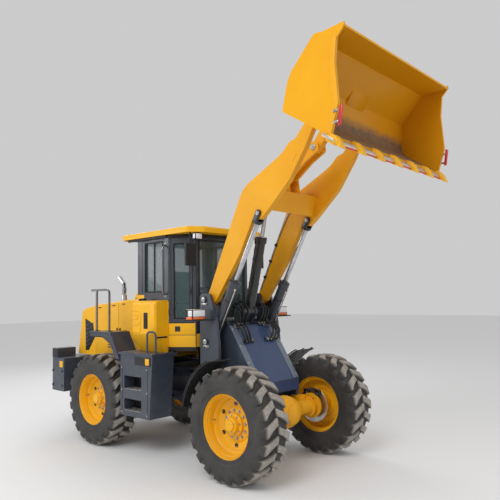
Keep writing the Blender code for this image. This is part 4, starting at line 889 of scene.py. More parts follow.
def dressHood():
    half, proud = hoodSettings["half"], hoodSettings["panelProud"]
    for word, side in sides:
        y = side * half
        title = word.title()
        panels = []
        for start, end in ((-3.2, -2.6), (-2.585, -1.985)):
            outline = [
                (start, 1.16), (end, 1.16), (end, hoodTop(end) - 0.062),
                ((start + end) / 2, hoodTop((start + end) / 2) - 0.062),
                (start, hoodTop(start) - 0.062)]
            panels.append(sidePlate("hoodDoor", outline, y, side * proud, 0.002))
        grouped(f"hoodDoors{title}", panels, "yellowPaint")
        louvre = [(-3.49, 1.659), (-3.272, 1.579), (-3.218, 1.38), (-3.385, 1.185), (-3.472, 1.175)]
        backing = sidePlate(f"hoodLouvreBack{title}", louvre, y, side * 0.004, 0.0015)
        finished(backing, "blackPlastic")
        slats = []
        for number in range(hoodSettings["slats"]):
            z = 1.235 + number * 0.062
            front = -3.245 if z > 1.36 else -3.31
            slats.append(sidePlate(
                "louvreSlat", [(-3.455, z), (front - 0.02, z + 0.034), (front - 0.02, z + 0.052),
                    (-3.455, z + 0.018)],
                y + side * 0.003, side * 0.01, 0.003))
        grouped(f"hoodLouvreSlats{title}", slats, "blackEnamel")
        latches = []
        for x, z in ((-3.16, 1.5), (-2.62, 1.5), (-2.55, 1.5), (-2.03, 1.5)):
            latches.append(block("latch", (x - 0.012, y + side * 0.003, z - 0.035),
                (x + 0.012, y + side * 0.016, z + 0.035), 0.004))
        grouped(f"hoodLatches{title}", latches, "blackPlastic")
        hinges = []
        for x in (-3.08, -2.72, -2.47, -2.11):
            hinges.append(rodBetween(
                "hinge", (x - 0.03, y + side * 0.004, hoodTop(x) - 0.052),
                (x + 0.03, y + side * 0.004, hoodTop(x) - 0.052),
                0.0075, 12))
        grouped(f"hoodHinges{title}", hinges, "blackEnamel")
        vents = []
        for number in range(7):
            z = 1.25 + number * 0.034
            vents.append(block("vent", (-2.86, y + side * 0.003, z),
                (-2.68, y + side * 0.01, z + 0.014), 0.003))
        grouped(f"hoodSideVents{title}", vents, "blackPlastic")
    slope = [(-3.705, 1.165), (-3.6, 1.76), (-3.607, 1.762), (-3.713, 1.165)]
    rear = sidePlate("rearGrilleBack", slope, -0.43, 0.86, 0.001)
    finished(rear, "blackPlastic")
    slats = []
    for number in range(hoodSettings["grilleSlats"]):
        z = 1.2 + number * 0.055
        x = -3.708 + (z - 1.165) / 0.6 * 0.105
        slats.append(sidePlate(
            "grilleSlat", [(x - 0.012, z), (x + 0.003, z + 0.004), (x + 0.009, z + 0.034),
                (x - 0.004, z + 0.03)],
            -0.42, 0.84, 0.003))
    for y in (-0.435, -0.012, 0.411):
        slats.append(sidePlate(
            "grilleBar", [(-3.728, 1.155), (-3.705, 1.155), (-3.595, 1.77), (-3.618, 1.772)], y,
            0.024, 0.004))
    grouped("rearGrilleSlats", slats, "greyPaint")
    cowl = sidePlate(
        "hoodCowl", [(-2.24, hoodTop(-2.24) - 0.004), (-2.2, 2.022), (-2.03, 2.03), (-1.966, 2.018),
            (-1.966, 1.955)],
        -0.505, 1.01, 0.014, 3)
    finished(cowl, "yellowPaint")
    seam = sidePlate(
        "hoodTopSeam", [(-2.615, hoodTop(-2.615) - 0.003), (-2.575, hoodTop(-2.575) - 0.003),
            (-2.575, hoodTop(-2.575) + 0.005),
                        (-2.615, hoodTop(-2.615) + 0.005)], -0.46, 0.92, 0.003)
    finished(seam, "yellowPaint")
    slots = []
    for number in range(9):
        x = -3.12 + number * 0.032
        slots.append(sidePlate(
            "topSlot", [(x, hoodTop(x) - 0.002), (x + 0.016, hoodTop(x + 0.016) - 0.002),
                (x + 0.016, hoodTop(x + 0.016) + 0.004),
                        (x, hoodTop(x) + 0.004)], -0.17, 0.34, 0.0015))
    grouped("hoodTopSlots", slots, "blackPlastic")
    cap = turned("radiatorCap", [(0.0, 0.0), (0.045, 0.0), (0.045, 0.02), (0.04, 0.028),
        (0.0, 0.03)], (-3.38, 0.0, hoodTop(-3.38) - 0.004), (0, 0, 1), 28)
    finished(cap, "blackPlastic")
    cleaner = turned("airIntake", [
        (0.0, -0.006), (0.045, -0.006), (0.045, 0.085), (0.088, 0.1), (0.094, 0.112), (0.094, 0.17),
        (0.084, 0.186),
        (0.04, 0.194), (0.0, 0.195)], (-2.42, 0.26, hoodTop(-2.42)), (0, 0, 1), 36)
    finished(cleaner, "blackPlastic")
    collar = turned("exhaustCollar", [(0.033, -0.002), (0.062, -0.002), (0.062, 0.006),
        (0.046, 0.01), (0.046, 0.034), (0.033, 0.036)],
                    (-2.78, -0.3, hoodTop(-2.78)), (0, 0, 1), 32)
    finished(collar, "zincSteel")
    band = turned("exhaustBand", [(0.0325, 0.0), (0.038, 0.0), (0.038, 0.018), (0.0325, 0.018)],
        (-2.78, -0.3, 2.08), (0, 0, 1), 28)
    finished(band, "zincSteel")
    print("hood dressed")


def dressWeight():
    for word, side in sides:
        title = word.title()
        slats = []
        for number in range(5):
            z = 1.105 + number * 0.022
            slats.append(block("slat", (-3.845, side * 0.858, z), (-3.715, side * 0.868, z + 0.012),
                0.003))
            slats.append(block("slat", (-3.868, side * 0.58, z), (-3.857, side * 0.84, z + 0.012),
                0.003))
        grouped(f"lampGuardSlats{title}", slats, "blackPlastic")
        lamp = block(f"tailLamp{title}", (-3.8635, side * 0.6, 1.112),
            (-3.8585, side * 0.82, 1.205), 0.002)
        finished(lamp, "redPaint")
        label = block(f"weightPlate{title}", (-3.56, side * 0.899, 0.955),
            (-3.47, side * 0.9045, 1.045), 0.002)
        finished(label, "yellowPaint")
        boltRow(f"weightBolts{title}", [(x, side * 0.9, z) for x in (-3.75, -3.49) for z in (0.69, 0.9)],
                (0, side, 0), "greyPaint", "rear_frame", 0.016, 0.012)
    bar = [
        block("towEar", (-3.919, y, 0.7), (-3.9, y + 0.03, 0.82), 0.004) for y in (-0.09, 0.06)]
    grouped("towEars", bar, "greyPaint")
    finished(crossRing("weightRearRing", (-0.5, 0.66), (0.5, 1.04), 0.022, -3.9195, 0.012, 0.004),
        "greyPaint")
    print("counterweight dressed")


def dressSides():
    for word, side in sides:
        title = word.title()
        y = side * 0.85
        loop = [
            (-1.785, y, 1.52), (-1.785, y, 1.6), (-1.65, y, 1.62), (-1.612, y, 1.66),
            (-1.612, y, 1.75), (-1.65, y, 1.79),
            (-1.785, y, 1.79)]
        loop2 = [(-1.785, y, 1.675), (-1.675, y, 1.685), (-1.675, y, 1.735), (-1.785, y, 1.735)]
        rib = [pipe("rib", loop, 0.0075, 0.03), pipe("rib", loop2, 0.006, 0.02),
               pipe("rib", [(-1.785, y, 1.52), (-1.62, y, 1.52), (-1.612, y, 1.66)], 0.0075, 0.03)]
        grouped(f"tankRibs{title}", rib, "yellowPaint")
        slot = [block("slot", (-1.545, y, 1.565), (-1.465, y + side * 0.005, 1.765), 0.004)]
        for number in range(9):
            slot.append(block(
                "slotSlat", (-1.538, y + side * 0.003, 1.577 + number * 0.0205),
                (-1.472, y + side * 0.011, 1.587 + number * 0.0205), 0.002))
        grouped(f"tankVent{title}", slot, "blackPlastic")
        door = sidePlate(f"tankDoor{title}", [(-1.425, 1.53), (-1.325, 1.53), (-1.325, 1.87),
            (-1.425, 1.87)], y, side * 0.004, 0.002)
        finished(door, "yellowPaint")
        cap = turned(
            f"tankCap{title}", [(0.0, 0.0), (0.052, 0.0), (0.052, 0.014), (0.044, 0.026),
                (0.018, 0.03), (0.0, 0.03)],
            (-1.7, side * 0.755, 1.9145), (0, 0, 1), 28)
        finished(cap, "blackPlastic")
        strap = block(f"tankStrap{title}", (-1.318, side * 0.668, 1.45),
            (-1.304, side * 0.838, 1.47), 0.003)
        finished(strap, "blackPlastic")
        # fender relief and edge beads
        face = side * 0.945
        relief = [
            pipe("relief", [(-2.6, face, 1.475), (-2.3, face, 1.475), (-2.15, face, 1.44)], 0.006, 0.03),
            pipe("relief", [(-2.3, face, 1.475), (-2.16, face, 1.385), (-1.965, face, 1.2),
                (-2.1, face, 1.455), (-2.3, face, 1.475)], 0.006, 0.015),
            pipe("relief", [(-2.64, side * 0.955, 1.5065), (-2.142, side * 0.955, 1.5065),
                (-1.93, side * 0.955, 1.173)], 0.006, 0.02),
        ]
        grouped(f"fenderRelief{title}", relief, "greyPaint")
        flap = sidePlate(
            f"fenderFlap{title}", [(-2.64, 1.452), (-2.34, 1.452), (-2.18, 1.382), (-2.19, 1.368),
                (-2.345, 1.435), (-2.64, 1.435)],
            side * 0.927, side * 0.014, 0.003)
        finished(flap, "blackPlastic")
        dressStep(word, side)
    print("sides dressed")


def dressStep(word, side):
    title = word.title()
    outer = side * 0.95
    recess = block(f"stepRecess{title}", (-1.6, outer, 1.125), (-1.27, outer + side * 0.004, 1.225),
        0.002)
    finished(recess, "blackPlastic")
    label = block(f"stepPlate{title}", (-1.375, outer + side * 0.003, 1.135),
        (-1.3, outer + side * 0.0075, 1.212), 0.0015)
    finished(label, "yellowPaint")
    finished(ringPlate(f"stepDoorRing{title}", (-1.88, 0.505), (-1.335, 1.105), 0.014, outer,
        side * 0.004, 0.0015),
             "greyPaint")
    treads, lining, cleats = [], [], []
    for level, top in ((0.56, 0.7), (0.82, 0.98)):
        treads.append(block("tread", (-1.815, side * 0.795, level + 0.0005),
            (-1.465, side * 0.953, level + 0.006), 0.0015))
        lining.append(block("lining", (-1.816, side * 0.7915, level + 0.001),
            (-1.464, side * 0.7945, top - 0.001), 0.0005))
        for row in range(3):
            for number in range(11):
                x = -1.795 + number * 0.031 + (row % 2) * 0.015
                y = side * (0.825 + row * 0.045)
                cleats.append(block("cleat", (x - 0.01, y - 0.0035, level + 0.005),
                    (x + 0.01, y + 0.0035, level + 0.0095), 0.0012, 1))
    grouped(f"stepTreads{title}", treads + cleats, "zincSteel")
    grouped(f"stepLining{title}", lining, "blackPlastic")
    bumps = []
    for row in range(8):
        for number in range(17):
            x = -1.925 + number * 0.041 + (row % 2) * 0.02
            y = side * (0.585 + row * 0.048)
            if (x > -1.8 and x < -1.31 and abs(y) < 0.86) or x > -1.245 or min(abs(x + 1.42),
                abs(x + 1.25)) < 0.03:
                continue
            bump = block("bump", (x - 0.013, y - 0.004, 1.2695), (x + 0.013, y + 0.004, 1.2735),
                0.0012, 1)
            turn = Matrix.Translation(at(x, y, 0)) @ Matrix.Rotation(math.radians(45
                if number % 2 else -45), 4, "Z")
            bump.data.transform(turn @ Matrix.Translation(-at(x, y, 0)))
            bumps.append(bump)
    grouped(f"deckChequer{title}", bumps, "zincSteel")
    boltRow(
        f"stepBolts{title}",
        [(x, outer + side * 0.003, z) for x in (-1.87, -1.345) for z in (0.53, 0.8, 1.08)],
        (0, side, 0), "zincSteel", "rear_frame", 0.008, 0.006)


cabSettings = {"top": 2.74, "half": 0.65, "frontHalf": 0.465, "doorX": -1.3, "frontX": -0.99}


def obliqueSpot(side, along, out, z):
    hinge = Vector((cabSettings["doorX"], side * cabSettings["half"]))
    end = Vector((cabSettings["frontX"], side * cabSettings["frontHalf"]))
    way = (end - hinge).normalized()
    outward = Vector((way.y, -way.x)) * (1 if side < 0 else -1)
    spot = hinge + way * along + outward * out
    return (spot.x, spot.y, z)


def obliqueSlab(name, side, start, end, low, high, lowZ, highZ, bevel=0.003):
    corners = [obliqueSpot(side, u, v, lowZ)
        for u, v in ((start, low), (end, low), (end, high), (start, high))]
    return plate(name, corners, (0, 0, highZ - lowZ), bevel)


def dressCab():
    front, half = cabSettings["frontX"], cabSettings["half"]
    for word, side in sides:
        title = word.title()
        skin = [
            *(obliqueSlab("sillSkin", side, 0.004, 0.352, 0.0, 0.007, low, high, 0.003)
              for low, high in ((1.335, 1.478), (1.484, 1.626))),
            block("sillPost", (-1.3085, side * 0.6505, 1.335), (-1.2975, side * 0.6575, 1.9), 0.003),
            block("sillSide", (-1.945, side * 0.6505, 1.335), (-1.802, side * 0.657, 1.99), 0.003),
        ]
        grouped(f"cabSillSkin{title}", skin, "yellowPaint")
        label = obliqueSlab(f"cabSillPlate{title}", side, 0.085, 0.155, 0.006, 0.01, 1.525, 1.59, 0.0015)
        finished(label, "blackEnamel")
        foot = obliqueSlab(f"cabSkirt{title}", side, -0.02, 0.34, -0.05, -0.004, 1.285, 1.332, 0.004)
        finished(foot, "blackPlastic")
        y = side * half
        finished(ringPlate(f"sideWindowSeal{title}", (-1.795, 2.015), (-1.405, 2.675), 0.02,
            y - side * 0.004, side * 0.01, 0.004),
                 "blackPlastic")
        finished(ringPlate(f"sideWindowTrim{title}", (-1.86, 1.985), (-1.385, 2.7), 0.014, y,
            side * 0.003, 0.0015),
                 "cabPaint")
        sash = block(f"sideWindowSash{title}", (-1.612, y - side * 0.0175, 2.035),
            (-1.59, y - side * 0.006, 2.655), 0.003)
        finished(sash, "blackPlastic")
        hoopY = side * 0.705
        hoop = [
            pipe("grab", [(-1.352, y, 2.62), (-1.352, hoopY, 2.58), (-1.352, hoopY, 2.02),
                (-1.352, y, 1.98)], 0.0125, 0.04),
            *(turned("grabFoot", [(0.0, -0.002), (0.026, -0.002), (0.026, 0.006), (0.0, 0.006)],
                     (-1.352, y, level), (0, side, 0), 20) for level in (2.62, 1.98)),
        ]
        grouped(f"cabGrabRail{title}", hoop, "tubeSteel")
        gutter = block(f"roofGutter{title}", (-2.14, side * 0.651, 2.705),
            (-1.315, side * 0.676, 2.7385), 0.006)
        finished(gutter, "blackPlastic")
        brow = obliqueSlab(f"roofBrow{title}", side, 0.0, 0.355, 0.001, 0.022, 2.7, 2.7385, 0.005)
        finished(brow, "blackPlastic")
        body = f"door_{word}"
        seal = [
            obliqueSlab("seal", side, start, end, -0.014, -0.006, low, high, 0.002)
            for start, end, low, high in (
                (0.072, 0.281, 1.682, 1.694), (0.072, 0.281, 2.612, 2.626),
                (0.072, 0.084, 1.69, 2.62), (0.269, 0.281, 1.69, 2.62))]
        grouped(f"doorGlassSeal{title}", seal, "blackPlastic", body)
        handle = [
            obliqueSlab("handle", side, 0.286, 0.306, 0.005, 0.011, 1.96, 2.09, 0.002),
            obliqueSlab("handle", side, 0.289, 0.303, 0.009, 0.026, 2.0, 2.06, 0.004),
        ]
        grouped(f"doorHandle{title}", handle, "blackEnamel", body)
        lamp = workLamp(side)
        finished(lamp, "blackPlastic")
        lamp.name = f"workLamp{title}"
        glass = block(f"mirrorGlass{title}", (-0.9285, side * 0.548, 2.338),
            (-0.9248, side * 0.692, 2.592), 0.002)
        finished(glass, "mirrorGlass")
    finished(crossRing("windscreenSeal", (-0.42, 1.505), (0.42, 2.675), 0.022, front - 0.006, 0.011,
        0.004), "blackPlastic")
    finished(crossRing("rearWindowSeal", (-0.535, 2.015), (0.535, 2.675), 0.022, -1.956, 0.012,
        0.004), "blackPlastic")
    nose = block("cabNoseSkin", (-0.9895, -0.462, 1.335), (-0.983, 0.462, 1.495), 0.003)
    finished(nose, "yellowPaint")
    brow = block("roofBrowFront", (-0.988, -0.462, 2.7), (-0.96, 0.462, 2.7385), 0.006)
    finished(brow, "blackPlastic")
    wiper = [
        rodBetween("wiperBoss", (-1.0, 0.12, 1.512), (-0.972, 0.12, 1.512), 0.014, 16),
        pipe("wiperArm", [(-0.976, 0.12, 1.512), (-0.985, 0.02, 1.8), (-1.0, -0.02, 2.02)], 0.0045,
            0.05),
        block("wiperBlade", (-1.0075, -0.028, 1.8), (-0.997, -0.016, 2.26), 0.002),
    ]
    grouped("windscreenWiper", wiper, "blackPlastic")
    ribs = [
        pipe("roofRib", [(-2.2, y, 2.816), (-0.92, y, 2.816)], 0.006, 0)
        for y in (-0.4, -0.2, 0.0, 0.2, 0.4)]
    grouped("roofRibs", ribs, "yellowPaint")
    ring = block("roofUnderside", (-2.24, -0.66, 2.7325), (-1.96, 0.66, 2.7398), 0.002)
    finished(ring, "blackPlastic")
    print("cab dressed")


def workLamp(side):
    x, y, z = -0.845, side * 0.555, 2.695
    shell = block("lampShell", (x - 0.035, y - 0.055, z - 0.045), (x + 0.02, y + 0.055, z + 0.035),
        0.01, 3)
    lens = painted(block("lampLens", (x + 0.0185, y - 0.047, z - 0.037),
        (x + 0.0245, y + 0.047, z + 0.027), 0.003), "whiteLens")
    sideLens = painted(block(
        "lampSide", (x - 0.025, y + side * 0.0535, z - 0.034),
        (x + 0.012, y + side * 0.0585, z + 0.024), 0.002), "whiteLens")
    bracket = block("lampBracket", (x - 0.012, y - 0.02, z + 0.03),
        (x + 0.006, y + 0.02, z + 0.0455), 0.002)
    painted(shell, "blackPlastic")
    painted(bracket, "blackPlastic")
    return joined("workLamp", [shell, lens, sideLens, bracket])


seatSettings = {"voxel": 0.012, "pressure": 4.0, "frames": 14, "most": 0.014}


def cushion(name, low, high, crown, waist):
    # a crowned pad from a subdivided block, puffed by cloth, then smoothed
    low, high = Vector(low), Vector(high)
    clearSelection()
    bpy.ops.mesh.primitive_cube_add(size=1, location=(low + high) / 2 + Vector((frameX, 0, 0)))
    piece = bpy.context.active_object
    piece.name = name
    piece.scale = high - low
    settle(piece)
    roundEdges(piece, min(high - low) * 0.3, 4, 30)
    bpy.ops.object.mode_set(mode="EDIT")
    bpy.ops.mesh.select_all(action="SELECT")
    bpy.ops.mesh.subdivide(number_cuts=3)
    bpy.ops.object.mode_set(mode="OBJECT")
    middle = (low + high) / 2 + Vector((frameX, 0, 0))
    size = (high - low) / 2
    flat = min(range(3), key=lambda axis: size[axis])
    others = [axis for axis in range(3) if axis != flat]
    for vertex in piece.data.vertices:
        away = [(vertex.co[axis] - middle[axis]) / size[axis] for axis in range(3)]
        dome = (1 - away[others[0]] ** 2) * (1 - away[others[1]] ** 2)
        vertex.co[flat] += size[flat] * away[flat] * crown * dome
        for axis in others:
            pinch = waist * (1 - away[others[0] if axis == others[1] else others[1]] ** 2)
            vertex.co[axis] -= size[axis] * away[axis] * abs(away[axis]) * pinch * 0.5
    remesh = piece.modifiers.new("evenSkin", "REMESH")
    remesh.mode = "VOXEL"
    remesh.voxel_size = seatSettings["voxel"]
    applyModifiers(piece)
    before = [vertex.co.copy() for vertex in piece.data.vertices]
    cloth = piece.modifiers.new("puff", "CLOTH")
    cloth.settings.use_pressure = True
    cloth.settings.uniform_pressure_force = seatSettings["pressure"]
    cloth.settings.effector_weights.gravity = 0
    cloth.point_cache.frame_end = seatSettings["frames"]
    for step in range(1, seatSettings["frames"] + 1):
        bpy.context.scene.frame_set(step)
    applyModifiers(piece)
    for vertex, start in zip(piece.data.vertices, before):
        shift = vertex.co - start
        if shift.length > seatSettings["most"]:
            vertex.co = start + shift.normalized() * seatSettings["most"]
    bpy.context.scene.frame_set(1)
    smoother = piece.modifiers.new("softSkin", "SUBSURF")
    smoother.levels = 1
    smoother.render_levels = 1
    applyModifiers(piece)
    return smoothPiece(piece, 80)


def buildSeat():
    seat = cushion("seatCushion", (-1.78, -0.225, 1.745), (-1.36, 0.225, 1.835), 0.3, 0.1)
    finished(seat, "seatCloth")
    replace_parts(seat, "operator_seat")
    back = cushion("seatBackCushion", (-1.815, -0.215, 1.86), (-1.745, 0.215, 2.33), 0.35, 0.12)
    finished(back, "seatCloth")
    seams = [
        pipe("seam", [(-1.727, y, 1.9), (-1.722, y, 2.1), (-1.727, y, 2.29)], 0.003, 0.05)
        for y in (-0.1, 0.1)]
    grouped("seatSeams", seams, "blackPlastic", "rear_frame")
    base = [
        block("seatPan", (-1.79, -0.22, 1.715), (-1.37, 0.22, 1.742), 0.008),
        block("seatBox", (-1.69, -0.165, 1.371), (-1.45, 0.165, 1.46), 0.01),
        block("seatBackShell", (-1.838, -0.205, 1.8), (-1.818, 0.205, 2.31), 0.008),
    ]
    for number in range(7):
        base.append(block(
            "bellows", (-1.68 + 0.006 * (number % 2), -0.155 + 0.008 * (number % 2),
                1.462 + number * 0.036),
            (-1.46 - 0.006 * (number % 2), 0.155 - 0.008 * (number % 2), 1.494 + number * 0.036), 0.008))
    for word, side in sides:
        base.append(block("armRest", (-1.76, side * 0.232, 1.95), (-1.52, side * 0.239, 1.985), 0.003))
    grouped("seatBase", base, "blackPlastic")
    wheel = turned("steeringRim", [
        (0.18 + 0.0175 * math.cos(math.tau * number / 12),
            0.0175 * math.sin(math.tau * number / 12)) for number in range(12)],
        (-1.24, 0, 2.0575), (0, 0, 1), 56)
    finished(wheel, "blackPlastic")
    knob = turned("steeringKnob", [(0.0, 0.0), (0.012, 0.0), (0.012, 0.012), (0.022, 0.022),
        (0.022, 0.04), (0.012, 0.048), (0.0, 0.049)],
                  (-1.39, -0.1, 2.07), (0, 0, 1), 20)
    finished(knob, "blackEnamel")
    panel = [block("panelFace", (-1.168, -0.24, 1.8), (-1.159, 0.24, 1.97), 0.004)]
    for y in (-0.16, -0.06, 0.06, 0.16):
        panel.append(turned("gauge", [(0.03, 0.0), (0.036, 0.0), (0.036, 0.008), (0.03, 0.008)],
            (-1.167, y, 1.9), (-1, 0, 0), 24))
        panel.append(turned("gaugeFace", [(0.0, 0.0), (0.03, 0.0), (0.03, 0.003), (0.0, 0.003)],
            (-1.167, y, 1.9), (-1, 0, 0), 24))
    grouped("gaugePanel", panel, "cabLining")
    levers = [
        pipe("lever", [(-1.45, -0.36, 1.42), (-1.43, -0.37, 1.9), (-1.44, -0.37, 2.0)], 0.008, 0.03),
        turned("leverKnob", [(0.0, 0.0), (0.012, 0.0), (0.024, 0.014), (0.024, 0.04), (0.0, 0.056)],
            (-1.44, -0.37, 1.99), (0, 0, 1), 20),
        pipe("lever", [(-1.52, -0.36, 1.42), (-1.51, -0.37, 1.86), (-1.52, -0.37, 1.96)], 0.008, 0.03),
        turned("leverKnob", [(0.0, 0.0), (0.012, 0.0), (0.024, 0.014), (0.024, 0.04), (0.0, 0.056)],
            (-1.52, -0.37, 1.95), (0, 0, 1), 20),
        block("leverBox", (-1.62, -0.42, 1.371), (-1.38, -0.3, 1.78), 0.02, 3),
    ]
    grouped("controlLevers", levers, "blackPlastic")
    print("seat and controls built")


frontSettings = {"tower": 0.56, "knee": (-0.085, 0.944), "slope": (-0.465, 0.711),
    "out": (0.837, 0.547), "hose": 0.0125}


def hoseRun(name, points, radius=None, bend=0.06, ends=True):
    radius = radius or frontSettings["hose"]
    run = painted(pipe(name, points, radius, bend, 4, 7), "blackPlastic")
    made = [run]
    if ends:
        for first, second in ((points[0], points[1]), (points[-1], points[-2])):
            first, second = Vector(first), Vector(second)
            way = (second - first).normalized()
            sleeve = rodBetween("hoseSleeve", first, first + way * 0.034, radius * 1.25, 16, 0.0015)
            nut = rodBetween("hoseNut", first - way * 0.004, first + way * 0.012, radius * 1.55, 6,
                0.001)
            made += [painted(sleeve, "zincSteel"), painted(nut, "zincSteel")]
    return joined(name, made)


def dressFront():
    knee, slope, out = (Vector(frontSettings[word]) for word in ("knee", "slope", "out"))
    top = knee + slope * 0.91
    for word, side in sides:
        title = word.title()
        y = side * frontSettings["tower"]
        strip = [knee + out * 0.0147, top + out * 0.0147, top + out * 0.02, knee + out * 0.02]
        finished(sidePlate(f"coverFlange{title}", [tuple(point) for point in strip], side * 0.285,
            side * 0.094, 0.002),
                 "paleGreyPaint", "front_frame")
        keepers = []
        for x, z in ((-0.73, 1.914), (-0.708, 1.4155)):
            keepers.append(block("keeper", (x - 0.05, y + side * 0.0005, z - 0.064),
                (x + 0.05, y + side * 0.01, z - 0.04), 0.003))
            keepers.append(turned("pinFace", [(0.0, 0.0), (0.03, 0.0), (0.03, 0.004),
                (0.024, 0.006), (0.0, 0.006)],
                                  (x, y + side * 0.0218, z), (0, side, 0), 28))
            keepers.append(bolt("pinBolt", (x, y + side * 0.026, z), (0, side, 0), 0.014, 0.01))
            for shift in (-0.034, 0.034):
                keepers.append(bolt("keeperBolt", (x + shift, y + side * 0.01, z - 0.052),
                    (0, side, 0), 0.008, 0.007))
        grouped(f"towerKeepers{title}", keepers, "zincSteel", "front_frame")
        places = []
        for share in (0.06, 0.35, 0.64, 0.93):
            spot = knee + slope * 0.91 * share + out * 0.02
            places.append((spot.x, side * 0.355, spot.y))
        boltRow(f"coverBolts{title}", places, (out.x, 0, out.y), "zincSteel", "front_frame", 0.01, 0.007)
        lens = [
            painted(block("lensFront", (-0.6165, side * 0.664, 1.722),
                (-0.607, side * 0.842, 1.794), 0.004), "whiteLens"),
            painted(block("lensLow", (-0.6165, side * 0.664, 1.688), (-0.608, side * 0.842, 1.718),
                0.004), "orangeLens"),
            painted(block("lensSide", (-0.69, side * 0.8485, 1.724), (-0.622, side * 0.857, 1.792),
                0.004), "whiteLens"),
            painted(block("lensSideLow", (-0.725, side * 0.8485, 1.688),
                (-0.622, side * 0.856, 1.719), 0.004), "orangeLens"),
            painted(block("lampTop", (-0.73, side * 0.66, 1.7985), (-0.612, side * 0.846, 1.806),
                0.003), "paleSteel"),
        ]
        grouped(f"frontLampLens{title}", lens, "whiteLens", "front_frame")
        beads = []
        for along in (0.603, 0.947):
            arc = [(0.712 * math.cos(math.radians(step)), side * along,
                0.6 + 0.712 * math.sin(math.radians(step)))
                   for step in range(113, 170, 4)]
            beads.append(pipe("bead", arc, 0.0075, 0))
        rib = [(0.7175 * math.cos(math.radians(step)), side * 0.775,
            0.6 + 0.7175 * math.sin(math.radians(step)))
               for step in range(113, 170, 4)]
        beads.append(pipe("bead", rib, 0.006, 0))
        grouped(f"fenderBeads{title}", beads, "blackPlastic", "front_frame")
        hoses = []
        for number, along in enumerate((0.135, 0.185, 0.235)):
            lean = side * (along + 0.02 * number)
            hoses.append(hoseRun("hose", [
                (-0.5, side * along, 1.6), (-0.455, side * along, 1.665),
                (-0.4 - 0.02 * number, lean, 1.78),
                (-0.5, lean, 1.9 - 0.035 * number), (-0.625, side * (along + 0.03), 1.84),
                (-0.66, side * (along + 0.02), 1.66)],
                None, 0.08))
        for number in range(3):
            edge = side * (0.2 + 0.055 * number)
            hoses.append(hoseRun("hoseLoop", [
                (-0.475, edge, 1.585), (-0.395, edge + side * 0.015, 1.63 - 0.01 * number),
                (-0.315, edge + side * 0.03, 1.53),
                (-0.345 + 0.012 * number, edge - side * 0.03, 1.405),
                (-0.365, edge - side * 0.075, 1.425)], None, 0.07))
        body = joined(f"frontHoses{title}", hoses)
        finished(body, "blackPlastic", "front_frame")
        plugs = [
            block("manifold", (-0.525, side * 0.115, 1.58), (-0.47, side * 0.335, 1.612), 0.005),
            block("manifoldFoot", (-0.38, side * 0.105, 1.395), (-0.345, side * 0.265, 1.432), 0.005),
        ]
        grouped(f"hoseManifold{title}", plugs, "blackEnamel", "front_frame")
    seam = sidePlate("coverLipSeam", [(-0.072, 0.938), (-0.066, 0.938), (-0.066, 0.93),
        (-0.072, 0.93)], -0.37, 0.74, 0.001)
    finished(seam, "greyPaint", "front_frame")
    print("front frame dressed")


boomSettings = {
    "arm": 0.45, "armHalf": 0.035, "bucketPin": (0.92, 3.81), "rockerPin": (0.14, 3.38),
    "linkPin": (0.575, 3.607),
    "bucketLinkPin": (0.965, 4.06), "liftBase": (-0.708, 1.4155), "liftEye": (0.105, 2.868),
    "tiltBase": (-0.52, 1.76), "tiltEye": (-0.2, 3.08), "rod": 0.0298,
}


def pinCap(name, place, y, side, radius, thick=0.012):
    x, z = place
    cap = turned(name, [(0.0, -0.001), (radius, -0.001), (radius, thick * 0.7),
        (radius - 0.005, thick), (0.0, thick)],
                 (x, y, z), (0, side, 0), 28)
    head = bolt(name, (x, y + side * thick, z), (0, side, 0), radius * 0.34, 0.008)
    return joined(name, [cap, head])


def onLine(first, second, reach, offset=0.0):
    first, second = Vector(first), Vector(second)
    way = (second - first).normalized()
    spot = first + way * reach + Vector((way.y, -way.x)) * offset
    return spot.x, spot.y


